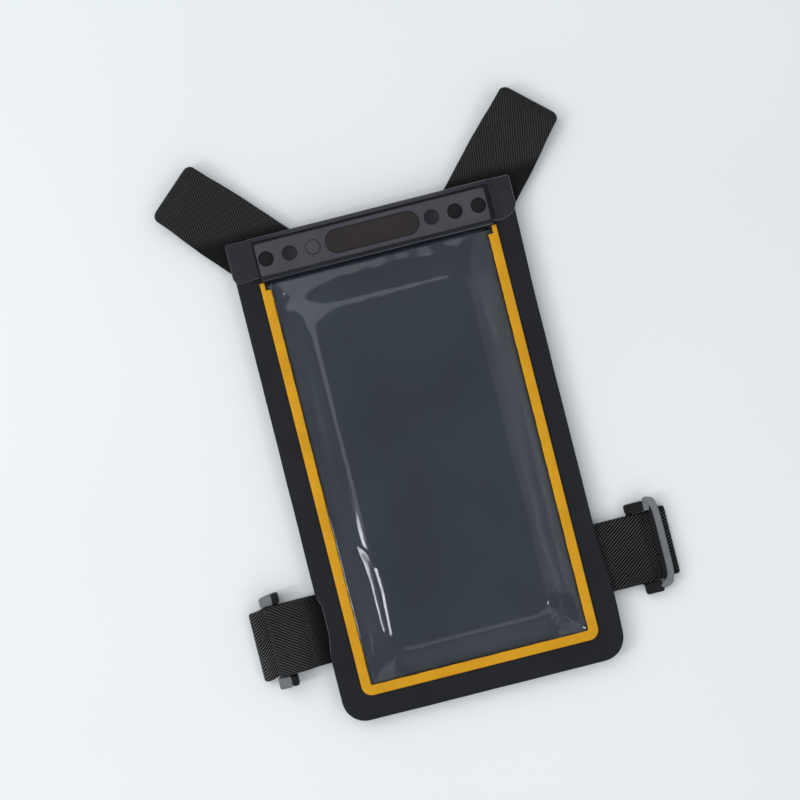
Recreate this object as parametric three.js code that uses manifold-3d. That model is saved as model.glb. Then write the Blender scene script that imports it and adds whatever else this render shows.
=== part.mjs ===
// A waterproof chest bag for a phone, lying on its back on its folded harness.
// Millimetres. +X is across the bag, +Y runs from its bottom edge to its closure, +Z is its front.
// Lengths along the bag are measured from its bottom edge, and the last lines centre the whole part.

import * as THREE from "three";
import { mergeVertices } from "three/addons/utils/BufferGeometryUtils.js";
import Module from "manifold-3d";

const wasm = await Module();
wasm.setup();

// Bag body: back panel, border frame and the weld round the window
const BAG_WIDTH = 124;
const BAG_LENGTH = 212.4;
const BAG_CORNER = 10;
const BAG_TOP_CORNER = 1;
const EDGE_PULL = 1.9;
const EDGE_PULL_ABOVE_TAB = 2;
const EDGE_PULL_HALF = 17;
const EDGE_PULL_STEPS = 16;
const BACK_THICKNESS = 1.0;
const FRAME_THICKNESS = 0.8;
const BORDER_SIDE = 9.7;
const BORDER_BOTTOM = 10.3;
const WELD_WIDTH = 4.3;
const WELD_THICKNESS = 0.6;
const WELD_CORNER = 4.5;
const WELD_INNER_CORNER = 0.8;
const WELD_STEP_WIDTH = 2.1;
const WELD_STEP_LENGTH = 3.5;
const WELD_END_GAP = 0.2;
const WINDOW_LAP = 0.4;
const MOUTH_CLEARANCE = 0.6;
const SMALL_CORNER = 0.5;

// Window film
const FILM_THICKNESS = 0.5;
const FILM_BULGE = 8.4;
const FILM_CROWN = 0.9;
const FILM_RISE = 12.6;
const FILM_TOP_RISE = 16.7;
const FILM_CORNER = 9;
const FILM_EDGE_SOFTNESS = 1.5;
const FILM_FOOT = 4;
const FILM_RISE_STEPS = 7;
const FILM_STEPS_ACROSS = 6;
const FILM_STEPS_ALONG = 14;

// Folds that the film keeps: middle, half length, half width, lean in degrees from the bag's length, rise
const FILM_FOLDS = [
  { x: -35.4, y: 51, halfLength: 27, halfWidth: 4.2, lean: 7.5, rise: 1.1 },
  { x: 39.5, y: 19.5, halfLength: 6, halfWidth: 4.5, lean: 50, rise: -0.9 },
  { x: -41, y: 27, halfLength: 9, halfWidth: 3.4, lean: -12, rise: 0.9 },
  { x: 40, y: 70, halfLength: 46, halfWidth: 3.6, lean: 1.5, rise: -0.8 },
  { x: -41.5, y: 128, halfLength: 38, halfWidth: 3.8, lean: -1.5, rise: -0.7 },
];

// Header sheet across the top: a hem round the front bar, a lip under it and a wing at each side
const HEADER_HEIGHT = 17.6;
const HEADER_ABOVE_BAG = 0.4;
const HEADER_OVERHANG = 0.8;
const HEADER_THICKNESS = 0.8;
const HEADER_LEFT_CORNER = 3.2;
const HEADER_RIGHT_CORNER = 6;
const HEADER_TOP_CORNER = 0.6;
const HEADER_DROP_LENGTH = 3.4;
const HEM_GAP = 0.5;
const HEM_WIDTH = 1.6;
const HEM_HEIGHT = 0.9;
const HEM_BEVEL = 0.3;
const LIP_HEIGHT = 1.6;

// Closure bars, their magnets and the plate
const BAR_MARGIN = 11.4;
const BAR_HEIGHT = 14.2;
const BAR_BELOW_TOP = 3.2;
const BAR_CORNER = 1.2;
const BAR_BEVEL = 0.5;
const FRONT_BAR_THICKNESS = 3.0;
const BACK_BAR_THICKNESS = 2.4;
const CLOSURE_GAP = 0.3;
const MAGNET_DIAMETER = 6;
const MAGNET_THICKNESS = 1.1;
const MAGNET_SINK = 0.3;
const MAGNET_CLEARANCE = 0.3;
const MAGNET_PITCH = 10.3;
const MAGNET_FROM_END = 3.9;
const MAGNETS_PER_SIDE = 3;
const PLATE_FROM_MAGNET = 2.7;
const PLATE_HEIGHT = 9.9;
const PLATE_THICKNESS = 1.1;
const PLATE_SEAT_DEPTH = 0.7;
const PLATE_CLEARANCE = 0.3;

// Webbing: 30 mm elastic, in layers behind the bag
const WEBBING_WIDTH = 30;
const WEBBING_THICKNESS = 1.6;
const WEBBING_EDGE = 0.5;
const LAYER_GAP = 0.3;

// Side straps: the chest band and the left tab, at one height on the bag
const SIDE_STRAP_Y = 42.7;
const ANCHOR_LENGTH = 14;

// Left slider: a loop on its edge, two bars one above the other
const LEFT_SLIDER_GAP = 15.6;
const LEFT_BAND_LOOP = 6.2;
const LEFT_CAP_WIDTH = 8.4;
const LEFT_BAR_THICKNESS = 2.0;
const LEFT_BAR_WIDTH = 4.6;
const LEFT_CAP_LENGTH = 4.9;
const BAND_TAIL = 3.5;
const TAB_SEWN_PAST_EDGE = 0.8;
const TAB_OVER_CAP = 1.2;
const TAB_UNDER_CAP = 3.4;
const TAB_OUTER_CLEARANCE = 1.1;

// Right slider: an inner bar under the strap and a broad bowed bar over it
const RIGHT_SLIDER_GAP = 13.6;
const RIGHT_BAND_LOOP = 3.8;
const RIGHT_INNER_BAR_WIDTH = 3.4;
const RIGHT_SLOT = 5.2;
const RIGHT_OUTER_BAR_WIDTH = 4.2;
const RIGHT_OUTER_BAR_THICKNESS = 2.8;
const RIGHT_CAP_LENGTH = 5.3;
const RIGHT_BOW = 1.3;
const RIGHT_BAR_CORNER_X = 2.2;
const RIGHT_BAR_CORNER_Y = 3;
const RIGHT_CAP_LAP = 1;
const RIGHT_CAP_STEP = 0.6;
const RIGHT_BAND_CLEARANCE = 0.4;
const SLIDER_SIDE_GAP = 0.6;
const SLIDER_CORNER = 1.4;
const SLIDER_BEVEL = 0.6;
const SLIDER_BAR_SETBACK = 0.5;
const SLIDER_BAR_ROUNDING = 0.45;
const SLIDER_ARC_STEPS = 4;

// Shoulder straps: out of the header, folded over, and back behind the bag to the chest band
const SHOULDER_ANGLE = 47.8;
const SHOULDER_ROOT_FROM_EDGE = 13.2;
const SHOULDER_ROOT_BELOW_TOP = 5.8;
const SHOULDER_REACH = 46.8;
const SHOULDER_ANCHOR = 21;
const SHOULDER_FOLD_RADIUS = 3.0;
const SHOULDER_FOLD_WIDTH = 28;
const SHOULDER_FOLD_CORNER = 2.9;
const SHOULDER_BEND_AT = 85;
const SHOULDER_BEND_HALF = 35;
const SHOULDER_LOWER_ANGLE = 68;
const SHOULDER_END_BELOW_BAND = 8.7;
const SHOULDER_FLAT_ROOT = 10;
const SHOULDER_WIDEN_SHARE = 0.25;
const CROSSING_CLEARANCE = 10;
const BAND_CLEARANCE = 2;
const RAMP = 15;
const ROW_STEP = 5;

// Heights of the stack, from the surface that the bag lies on
const layerMiddle = (index) => WEBBING_THICKNESS / 2 + index * (WEBBING_THICKNESS + LAYER_GAP);
const LAYER_1 = layerMiddle(0);
const LAYER_2 = layerMiddle(1);
const LAYER_3 = layerMiddle(2);
const BACK_Z = LAYER_3 + WEBBING_THICKNESS / 2 + LAYER_GAP;
const FRAME_Z = BACK_Z + BACK_THICKNESS;
const FILM_Z = FRAME_Z + FRAME_THICKNESS;
const WELD_Z = FILM_Z + FILM_THICKNESS;
const HEADER_Z = FRAME_Z + BACK_BAR_THICKNESS + CLOSURE_GAP;
const FRONT_BAR_Z = HEADER_Z + HEADER_THICKNESS;

// Places that several pieces share
const HALF_WIDTH = BAG_WIDTH / 2;
const BAR_LENGTH = BAG_WIDTH - 2 * BAR_MARGIN;
const MAGNET_OUTERMOST = BAR_LENGTH / 2 - MAGNET_FROM_END;
const MAGNET_INNERMOST = MAGNET_OUTERMOST - (MAGNETS_PER_SIDE - 1) * MAGNET_PITCH;
const PLATE_LENGTH = 2 * (MAGNET_INNERMOST - MAGNET_DIAMETER / 2 - PLATE_FROM_MAGNET);
const LEFT_CAP_INNER = HALF_WIDTH + LEFT_SLIDER_GAP;
const LEFT_REACH = LEFT_CAP_INNER + LEFT_CAP_WIDTH + LEFT_BAND_LOOP;
const RIGHT_FRAME_INNER = HALF_WIDTH + RIGHT_SLIDER_GAP;
const RIGHT_SLOT_START = RIGHT_FRAME_INNER + RIGHT_INNER_BAR_WIDTH;
const RIGHT_SLOT_END = RIGHT_SLOT_START + RIGHT_SLOT;
const RIGHT_REACH = RIGHT_SLOT_END + RIGHT_OUTER_BAR_WIDTH + RIGHT_BAND_LOOP;
const SHOULDER_ROOT_X = HALF_WIDTH - SHOULDER_ROOT_FROM_EDGE;
const WELD_OUTER = HALF_WIDTH - BORDER_SIDE;
const WELD_INNER = WELD_OUTER - WELD_WIDTH;
const HEADER_TOP = BAG_LENGTH + HEADER_ABOVE_BAG;
const HEADER_BOTTOM = HEADER_TOP - HEADER_HEIGHT;
const BAR_TOP = HEADER_TOP - BAR_BELOW_TOP;
const BAR_MIDDLE = BAR_TOP - BAR_HEIGHT / 2;
const LIP_BOTTOM = Math.min(HEADER_BOTTOM, BAR_TOP - BAR_HEIGHT) - LIP_HEIGHT;
const FILM_TOP = LIP_BOTTOM - LAYER_GAP;
const WELD_TOP = FILM_TOP - WELD_END_GAP;
const ARC_STEPS = 8;
const ROUND_STEPS = 24;

// How far a cutting shape goes past the piece that it cuts
const CUT_MARGIN = 1;

const COLOURS = {
  body: { color: 0x24262a, roughness: 0.75, metalness: 0 },
  header: { color: 0x2c2b32, roughness: 0.6, metalness: 0 },
  bar: { color: 0x444449, roughness: 0.65, metalness: 0 },
  plate: { color: 0x2b2422, roughness: 0.3, metalness: 0 },
  magnet: { color: 0x1c1d1c, roughness: 0.4, metalness: 0.3 },
  weld: { color: 0xdea316, roughness: 0.5, metalness: 0 },
  film: { color: 0xb9c4cc, roughness: 0.1, metalness: 0, transparent: true, opacity: 0.3 },
  webbing: { color: 0x262626, roughness: 0.9, metalness: 0 },
  slider: { color: 0x6e6e70, roughness: 0.5, metalness: 0 },
};

const bag = new THREE.Group();

// Adds one named piece to the bag.
function addPiece(name, geometry, colour, y = 0) {
  const mesh = new THREE.Mesh(geometry, new THREE.MeshStandardMaterial(COLOURS[colour]));
  mesh.name = name;
  mesh.position.y = y;
  bag.add(mesh);
}

// A closed geometry as a solid for cuts and joins.
function toSolid(geometry) {
  const plain = geometry.clone();
  plain.deleteAttribute("normal");
  plain.deleteAttribute("uv");
  const merged = mergeVertices(plain, 1e-4);
  const triVerts = new Uint32Array(merged.index.array);
  const vertProperties = merged.attributes.position.array;
  return new wasm.Manifold(new wasm.Mesh({ numProp: 3, vertProperties, triVerts }));
}

function toGeometry(solid) {
  const mesh = solid.getMesh();
  const geometry = new THREE.BufferGeometry();
  geometry.setAttribute("position", new THREE.BufferAttribute(mesh.vertProperties, 3));
  geometry.setIndex(new THREE.BufferAttribute(mesh.triVerts, 1));
  const faceted = geometry.toNonIndexed();
  faceted.computeVertexNormals();
  return faceted;
}

// A flat piece: an outline in plan, with its underside at z.
function sheet(shape, z, thickness) {
  const options = { depth: thickness, bevelEnabled: false, curveSegments: ARC_STEPS };
  return new THREE.ExtrudeGeometry(shape, options).translate(0, 0, z);
}

// A flat piece whose upper edge is bevelled.
function bevelledSheet(shape, z, thickness, bevel) {
  const options = {
    depth: thickness - bevel,
    bevelEnabled: true,
    bevelThickness: bevel,
    bevelSize: bevel,
    bevelOffset: -bevel,
    bevelSegments: 2,
    curveSegments: ARC_STEPS,
  };
  const full = new THREE.ExtrudeGeometry(shape, options).translate(0, 0, z);
  full.computeBoundingBox();
  const size = full.boundingBox.getSize(new THREE.Vector3());
  const middle = full.boundingBox.getCenter(new THREE.Vector3());
  const lowerBevel = new THREE.BoxGeometry(size.x + CUT_MARGIN, size.y + CUT_MARGIN, 2 * bevel);
  lowerBevel.translate(middle.x, middle.y, z - bevel);
  return toGeometry(toSolid(full).subtract(toSolid(lowerBevel)));
}

// A rectangle in plan with its lower corners and its upper corners rounded.
function roundedRectangle(x0, y0, x1, y1, lowRadius, topRadius, lowRightRadius = lowRadius) {
  const shape = new THREE.Shape();
  shape.moveTo(x0 + lowRadius, y0);
  shape.lineTo(x1 - lowRightRadius, y0);
  shape.absarc(x1 - lowRightRadius, y0 + lowRightRadius, lowRightRadius, -Math.PI / 2, 0, false);
  shape.lineTo(x1, y1 - topRadius);
  shape.absarc(x1 - topRadius, y1 - topRadius, topRadius, 0, Math.PI / 2, false);
  shape.lineTo(x0 + topRadius, y1);
  shape.absarc(x0 + topRadius, y1 - topRadius, topRadius, Math.PI / 2, Math.PI, false);
  shape.lineTo(x0, y0 + lowRadius);
  shape.absarc(x0 + lowRadius, y0 + lowRadius, lowRadius, Math.PI, 1.5 * Math.PI, false);
  return shape;
}

// A rectangle with round ends, centred on x, y.
function stadium(x, y, length, height) {
  const radius = height / 2;
  const straight = length / 2 - radius;
  const shape = new THREE.Shape();
  shape.moveTo(x - straight, y - radius);
  shape.lineTo(x + straight, y - radius);
  shape.absarc(x + straight, y, radius, -Math.PI / 2, Math.PI / 2, false);
  shape.lineTo(x - straight, y + radius);
  shape.absarc(x - straight, y, radius, Math.PI / 2, 1.5 * Math.PI, false);
  return shape;
}

// An upright disc with its underside at z.
function disc(x, y, z, radius, thickness) {
  const geometry = new THREE.CylinderGeometry(radius, radius, thickness, ROUND_STEPS);
  return geometry.rotateX(Math.PI / 2).translate(x, y, z + thickness / 2);
}

// A length of webbing. Each row is a line straight across it: a middle, a unit direction and a width.
function webbing(rows) {
  const half = WEBBING_THICKNESS / 2;
  const positions = [];
  const indices = [];
  rows.forEach((row, i) => {
    const before = rows[Math.max(i - 1, 0)].point;
    const after = rows[Math.min(i + 1, rows.length - 1)].point;
    const along = after.clone().sub(before).normalize();
    const normal = new THREE.Vector3().crossVectors(along, row.across).normalize();
    const edge = row.width / 2;
    const section = [
      [-edge, 0],
      [-edge + WEBBING_EDGE, half],
      [edge - WEBBING_EDGE, half],
      [edge, 0],
      [edge - WEBBING_EDGE, -half],
      [-edge + WEBBING_EDGE, -half],
    ];
    for (const [across, up] of section) {
      const corner = row.point.clone().addScaledVector(row.across, across).addScaledVector(normal, up);
      positions.push(corner.x, corner.y, corner.z);
    }
  });
  const count = 6;
  for (let i = 0; i + 1 < rows.length; i++) {
    for (let k = 0; k < count; k++) {
      const a = i * count + k;
      const b = i * count + ((k + 1) % count);
      indices.push(a, b, b + count, a, b + count, a + count);
    }
  }
  const last = (rows.length - 1) * count;
  for (let k = 1; k + 1 < count; k++) {
    indices.push(0, k + 1, k);
    indices.push(last, last + k, last + k + 1);
  }
  const geometry = new THREE.BufferGeometry();
  geometry.setAttribute("position", new THREE.Float32BufferAttribute(positions, 3));
  geometry.setIndex(indices);
  const solid = toSolid(geometry);
  return toGeometry(solid.volume() < 0 ? flipped(geometry) : solid);
}

// The same closed geometry with its faces turned to point out.
function flipped(geometry) {
  const turned = [];
  const old = geometry.index.array;
  for (let i = 0; i < old.length; i += 3) {
    turned.push(old[i], old[i + 2], old[i + 1]);
  }
  geometry.setIndex(turned);
  return toSolid(geometry);
}

// Webbing that lies square across the bag's side: its path is drawn in the X-Z plane.
function sideWebbing(path) {
  const rows = path.getPoints(ARC_STEPS).map((p) => ({
    point: new THREE.Vector3(p.x, 0, p.y),
    across: new THREE.Vector3(0, 1, 0),
    width: WEBBING_WIDTH,
  }));
  return webbing(rows);
}

// A smooth step of a path from where it is to x, z.
function easeTo(path, fromX, fromZ, x, z) {
  const middle = (fromX + x) / 2;
  path.bezierCurveTo(middle, fromZ, middle, z, x, z);
}

const smooth = (value) => {
  const t = Math.min(Math.max(value, 0), 1);
  return t * t * (3 - 2 * t);
};

// The whole outline of the bag, its left edge drawn in where the tab is sewn on
function bagOutline() {
  const whole = roundedRectangle(-HALF_WIDTH, 0, HALF_WIDTH, BAG_LENGTH, BAG_CORNER, BAG_TOP_CORNER);
  const points = whole.getPoints(ARC_STEPS);
  const middle = SIDE_STRAP_Y + EDGE_PULL_ABOVE_TAB;
  const last = points.findLastIndex((p) => p.x === -HALF_WIDTH && p.y > middle);
  const pulled = [];
  for (let i = 0; i <= EDGE_PULL_STEPS; i++) {
    const share = 1 - (2 * i) / EDGE_PULL_STEPS;
    const inward = EDGE_PULL * (1 - smooth(Math.abs(share)));
    pulled.push(new THREE.Vector2(-HALF_WIDTH + inward, middle + share * EDGE_PULL_HALF));
  }
  points.splice(last + 1, 0, ...pulled);
  return new THREE.Shape(points);
}

// Back panel: one coated sheet, the whole outline of the bag
function buildBackPanel() {
  const outline = bagOutline();
  addPiece("back_panel", sheet(outline, BACK_Z, BACK_THICKNESS), "body");
}

// Front frame: the border sheet, open at the window and at the mouth
function buildFrontFrame() {
  const windowHalf = WELD_INNER + WINDOW_LAP;
  const windowBottom = BORDER_BOTTOM + WELD_WIDTH - WINDOW_LAP;
  const mouthHalf = BAR_LENGTH / 2 + MOUTH_CLEARANCE;
  const mouthBottom = FILM_TOP - SMALL_CORNER;
  const mouthTop = BAG_LENGTH + CUT_MARGIN;
  const outline = bagOutline();
  const corner = SMALL_CORNER;
  const opening = roundedRectangle(-windowHalf, windowBottom, windowHalf, FILM_TOP, corner, corner);
  const mouth = roundedRectangle(-mouthHalf, mouthBottom, mouthHalf, mouthTop, corner, corner);
  const cutFrom = FRAME_Z - CUT_MARGIN;
  const cutHeight = FRAME_THICKNESS + 2 * CUT_MARGIN;
  const frame = toSolid(sheet(outline, FRAME_Z, FRAME_THICKNESS))
    .subtract(toSolid(sheet(opening, cutFrom, cutHeight)))
    .subtract(toSolid(sheet(mouth, cutFrom, cutHeight)));
  addPiece("front_frame", toGeometry(frame), "body");
}

// Weld band: a flat U over the film's edge, each end stepped to its outer half
function buildWeldBand() {
  const bottom = BORDER_BOTTOM;
  const innerBottom = bottom + WELD_WIDTH;
  const stepX = WELD_OUTER - WELD_STEP_WIDTH;
  const stepY = WELD_TOP - WELD_STEP_LENGTH;
  const shape = new THREE.Shape();
  shape.moveTo(-WELD_OUTER, WELD_TOP);
  shape.lineTo(-WELD_OUTER, bottom + WELD_CORNER);
  const cornerX = WELD_OUTER - WELD_CORNER;
  const cornerY = bottom + WELD_CORNER;
  shape.absarc(-cornerX, cornerY, WELD_CORNER, Math.PI, 1.5 * Math.PI, false);
  shape.lineTo(cornerX, bottom);
  shape.absarc(cornerX, cornerY, WELD_CORNER, -Math.PI / 2, 0, false);
  shape.lineTo(WELD_OUTER, WELD_TOP);
  shape.lineTo(stepX, WELD_TOP);
  shape.lineTo(stepX, stepY);
  shape.lineTo(WELD_INNER, stepY);
  shape.lineTo(WELD_INNER, innerBottom + WELD_INNER_CORNER);
  const innerX = WELD_INNER - WELD_INNER_CORNER;
  const innerY = innerBottom + WELD_INNER_CORNER;
  shape.absarc(innerX, innerY, WELD_INNER_CORNER, 0, -Math.PI / 2, true);
  shape.lineTo(-innerX, innerBottom);
  shape.absarc(-innerX, innerY, WELD_INNER_CORNER, -Math.PI / 2, -Math.PI, true);
  shape.lineTo(-WELD_INNER, stepY);
  shape.lineTo(-stepX, stepY);
  shape.lineTo(-stepX, WELD_TOP);
  addPiece("weld_band", sheet(shape, WELD_Z, WELD_THICKNESS), "weld");
}

// How much the film's folds add to its height at x, y
function foldHeight(x, y) {
  let height = 0;
  for (const fold of FILM_FOLDS) {
    const lean = THREE.MathUtils.degToRad(fold.lean);
    const away = new THREE.Vector2(x - fold.x, y - fold.y).rotateAround(new THREE.Vector2(), -lean);
    const distance = Math.hypot(away.x / fold.halfWidth, away.y / fold.halfLength);
    height += fold.rise * (1 - smooth(distance));
  }
  return height;
}

// Distance outside the rounded outline of the film's flat middle, negative inside it
function plateauDistance(x, y) {
  const bottom = BORDER_BOTTOM + WELD_WIDTH + FILM_RISE;
  const top = FILM_TOP - FILM_TOP_RISE;
  const beside = Math.abs(x) - (WELD_INNER - FILM_RISE) + FILM_CORNER;
  const beyond = Math.abs(y - (bottom + top) / 2) - (top - bottom) / 2 + FILM_CORNER;
  const outside = Math.hypot(Math.max(beside, 0), Math.max(beyond, 0));
  return outside + Math.min(Math.max(beside, beyond), 0) - FILM_CORNER;
}

// How far the film's outer face stands above its welded edge at x, y
function filmHeight(x, y) {
  const fromSide = WELD_INNER - Math.abs(x);
  const fromBottom = y - BORDER_BOTTOM - WELD_WIDTH;
  const fromTop = FILM_TOP - y;
  const toEdge = Math.max(Math.min(fromSide, fromBottom, fromTop), 0);
  const down = plateauDistance(x, y);
  const softDown = (down + Math.hypot(down, FILM_EDGE_SOFTNESS)) / 2;
  const share = softDown / (softDown + toEdge);
  const slope = (share + smooth(share)) / 2;
  const middleY = (BORDER_BOTTOM + FILM_TOP) / 2;
  const crown = Math.cos((x / WELD_INNER) * (Math.PI / 2)) * Math.cos(((y - middleY) / FILM_TOP) * Math.PI);
  const top = FILM_BULGE + FILM_CROWN * Math.max(crown, 0);
  const lift = HEADER_Z - WELD_Z + FILM_THICKNESS / 2;
  const toHeader = lift * smooth(1 - fromTop / FILM_RISE) * smooth((2 * fromSide) / FILM_RISE);
  const nearWeld = smooth(Math.min(fromSide, fromBottom) / FILM_FOOT);
  return top + (toHeader - top) * slope + nearWeld * foldHeight(x, y);
}

// Grid lines from one welded edge over the rise, the flat middle and the far rise
function filmLines(outer, inner, farInner, farOuter, farRise, flatSteps) {
  const lines = [outer];
  for (let i = 0; i <= FILM_RISE_STEPS; i++) {
    lines.push(inner + (FILM_RISE * i) / FILM_RISE_STEPS);
  }
  const flatStart = inner + FILM_RISE;
  const flatEnd = farInner - farRise;
  for (let i = 1; i < flatSteps; i++) {
    lines.push(flatStart + ((flatEnd - flatStart) * i) / flatSteps);
  }
  for (let i = 0; i <= FILM_RISE_STEPS; i++) {
    lines.push(flatEnd + (farRise * i) / FILM_RISE_STEPS);
  }
  if (farOuter > farInner) {
    lines.push(farOuter);
  }
  return lines;
}

// Window film: a thin sheet lofted over the pocket, flat where it is welded
function buildWindowFilm() {
  const xs = filmLines(-WELD_OUTER, -WELD_INNER, WELD_INNER, WELD_OUTER, FILM_RISE, FILM_STEPS_ACROSS);
  const innerBottom = BORDER_BOTTOM + WELD_WIDTH;
  const ys = filmLines(BORDER_BOTTOM, innerBottom, FILM_TOP, FILM_TOP, FILM_TOP_RISE, FILM_STEPS_ALONG);
  const positions = [];
  const indices = [];
  for (const underside of [false, true]) {
    for (const y of ys) {
      for (const x of xs) {
        const z = FILM_Z + filmHeight(x, y) + (underside ? 0 : FILM_THICKNESS);
        positions.push(x, y, z);
      }
    }
  }
  const columns = xs.length;
  const layer = columns * ys.length;
  for (let j = 0; j + 1 < ys.length; j++) {
    for (let i = 0; i + 1 < columns; i++) {
      const a = j * columns + i;
      const b = a + 1;
      const c = b + columns;
      const d = a + columns;
      indices.push(a, b, c, a, c, d);
      indices.push(layer + a, layer + c, layer + b, layer + a, layer + d, layer + c);
    }
  }
  const rim = [];
  for (let i = 0; i + 1 < columns; i++) rim.push(i);
  for (let j = 0; j + 1 < ys.length; j++) rim.push(j * columns + columns - 1);
  for (let i = columns - 1; i > 0; i--) rim.push((ys.length - 1) * columns + i);
  for (let j = ys.length - 1; j > 0; j--) rim.push(j * columns);
  rim.forEach((a, k) => {
    const b = rim[(k + 1) % rim.length];
    indices.push(a, layer + a, layer + b, a, layer + b, b);
  });
  const geometry = new THREE.BufferGeometry();
  geometry.setAttribute("position", new THREE.Float32BufferAttribute(positions, 3));
  geometry.setIndex(indices);
  const past = FILM_TOP + CUT_MARGIN;
  const outline = roundedRectangle(-WELD_OUTER, BORDER_BOTTOM, WELD_OUTER, past, WELD_CORNER, SMALL_CORNER);
  const tall = sheet(outline, 0, 2 * (FILM_Z + FILM_BULGE + FILM_CROWN));
  addPiece("window_film", toGeometry(toSolid(geometry).intersect(toSolid(tall))), "film");
}

// Header sheet: flat over the closure, stepped down to a wing on each side of the border, with a raised hem
// above and beside the front bar and a lip under it
function buildHeaderSheet() {
  const end = HALF_WIDTH + HEADER_OVERHANG;
  const flat = BAR_LENGTH / 2 + HEM_GAP + HEM_WIDTH;
  const wing = flat + HEADER_DROP_LENGTH;
  const middle = (flat + wing) / 2;
  const top = HEADER_Z + HEADER_THICKNESS;
  const wingTop = FILM_Z + HEADER_THICKNESS;
  const profile = new THREE.Shape();
  profile.moveTo(-end, FILM_Z);
  profile.lineTo(-wing, FILM_Z);
  profile.bezierCurveTo(-middle, FILM_Z, -middle, HEADER_Z, -flat, HEADER_Z);
  profile.lineTo(flat, HEADER_Z);
  profile.bezierCurveTo(middle, HEADER_Z, middle, FILM_Z, wing, FILM_Z);
  profile.lineTo(end, FILM_Z);
  profile.lineTo(end, wingTop);
  profile.lineTo(wing, wingTop);
  profile.bezierCurveTo(middle, wingTop, middle, top, flat, top);
  profile.lineTo(-flat, top);
  profile.bezierCurveTo(-middle, top, -middle, wingTop, -wing, wingTop);
  profile.lineTo(-end, wingTop);
  const options = { depth: HEADER_HEIGHT, bevelEnabled: false, curveSegments: ARC_STEPS };
  const strip = new THREE.ExtrudeGeometry(profile, options);
  strip.rotateX(Math.PI / 2).translate(0, HEADER_TOP, 0);
  const leftCorner = HEADER_LEFT_CORNER;
  const rightCorner = HEADER_RIGHT_CORNER;
  const topCorner = HEADER_TOP_CORNER;
  const outline = roundedRectangle(-end, HEADER_BOTTOM, end, HEADER_TOP, leftCorner, topCorner, rightCorner);
  const trimmed = toSolid(strip).intersect(toSolid(sheet(outline, 0, FRONT_BAR_Z + CUT_MARGIN)));

  const hemZ = HEADER_Z + HEADER_THICKNESS / 2;
  const hemThickness = FRONT_BAR_Z + HEM_HEIGHT - hemZ;
  const hemShape = roundedRectangle(-flat, HEADER_BOTTOM, flat, HEADER_TOP, 0, topCorner);
  const seatHalf = BAR_LENGTH / 2 + HEM_GAP;
  const seatBottom = HEADER_BOTTOM - CUT_MARGIN;
  const seatTop = BAR_TOP + HEM_GAP;
  const seatShape = roundedRectangle(-seatHalf, seatBottom, seatHalf, seatTop, 0, BAR_CORNER);
  const seat = sheet(seatShape, hemZ - CUT_MARGIN, hemThickness + 2 * CUT_MARGIN);
  const hem = toSolid(bevelledSheet(hemShape, hemZ, hemThickness, HEM_BEVEL)).subtract(toSolid(seat));

  const lipTop = HEADER_BOTTOM + CUT_MARGIN;
  const lipShape = roundedRectangle(-seatHalf, LIP_BOTTOM, seatHalf, lipTop, SMALL_CORNER, 0);
  const lip = toSolid(sheet(lipShape, HEADER_Z, HEADER_THICKNESS));
  addPiece("header_sheet", toGeometry(trimmed.add(hem).add(lip)), "header");
}

// Middles of the magnets, counted from the left
function magnetPlaces() {
  const left = [];
  for (let i = 0; i < MAGNETS_PER_SIDE; i++) {
    left.push(-MAGNET_OUTERMOST + i * MAGNET_PITCH);
  }
  const right = left.map((x) => -x).reverse();
  return [...left, ...right];
}

// One closure bar with a round recess for each magnet, open at its front face
function barWithRecesses(z, thickness) {
  const half = BAR_LENGTH / 2;
  const outline = roundedRectangle(-half, BAR_TOP - BAR_HEIGHT, half, BAR_TOP, BAR_CORNER, BAR_CORNER);
  let bar = toSolid(bevelledSheet(outline, z, thickness, BAR_BEVEL));
  const depth = MAGNET_THICKNESS + MAGNET_SINK;
  const radius = MAGNET_DIAMETER / 2 + MAGNET_CLEARANCE;
  for (const x of magnetPlaces()) {
    bar = bar.subtract(toSolid(disc(x, BAR_MIDDLE, z + thickness - depth, radius, depth + CUT_MARGIN)));
  }
  return bar;
}

function addMagnets(side, barTop) {
  const z = barTop - MAGNET_SINK - MAGNET_THICKNESS;
  magnetPlaces().forEach((x, i) => {
    const magnet = disc(x, BAR_MIDDLE, z, MAGNET_DIAMETER / 2, MAGNET_THICKNESS);
    addPiece(`magnet_${side}_${i + 1}`, magnet, "magnet");
  });
}

// Closure: the back bar inside the mouth, the front bar on the header sheet, and the blank plate
function buildClosure() {
  addPiece("closure_bar_back", toGeometry(barWithRecesses(FRAME_Z, BACK_BAR_THICKNESS)), "bar");
  addMagnets("back", FRAME_Z + BACK_BAR_THICKNESS);
  const frontTop = FRONT_BAR_Z + FRONT_BAR_THICKNESS;
  const seatZ = frontTop - PLATE_SEAT_DEPTH;
  const seatLength = PLATE_LENGTH + 2 * PLATE_CLEARANCE;
  const seatHeight = PLATE_HEIGHT + 2 * PLATE_CLEARANCE;
  const seatOutline = stadium(0, BAR_MIDDLE, seatLength, seatHeight);
  const seat = toSolid(sheet(seatOutline, seatZ, PLATE_SEAT_DEPTH + CUT_MARGIN));
  const bar = barWithRecesses(FRONT_BAR_Z, FRONT_BAR_THICKNESS).subtract(seat);
  addPiece("closure_bar_front", toGeometry(bar), "bar");
  addMagnets("front", frontTop);
  const plate = stadium(0, BAR_MIDDLE, PLATE_LENGTH, PLATE_HEIGHT);
  addPiece("name_plate", bevelledSheet(plate, seatZ, PLATE_THICKNESS, PLATE_THICKNESS / 3), "plate");
}

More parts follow.
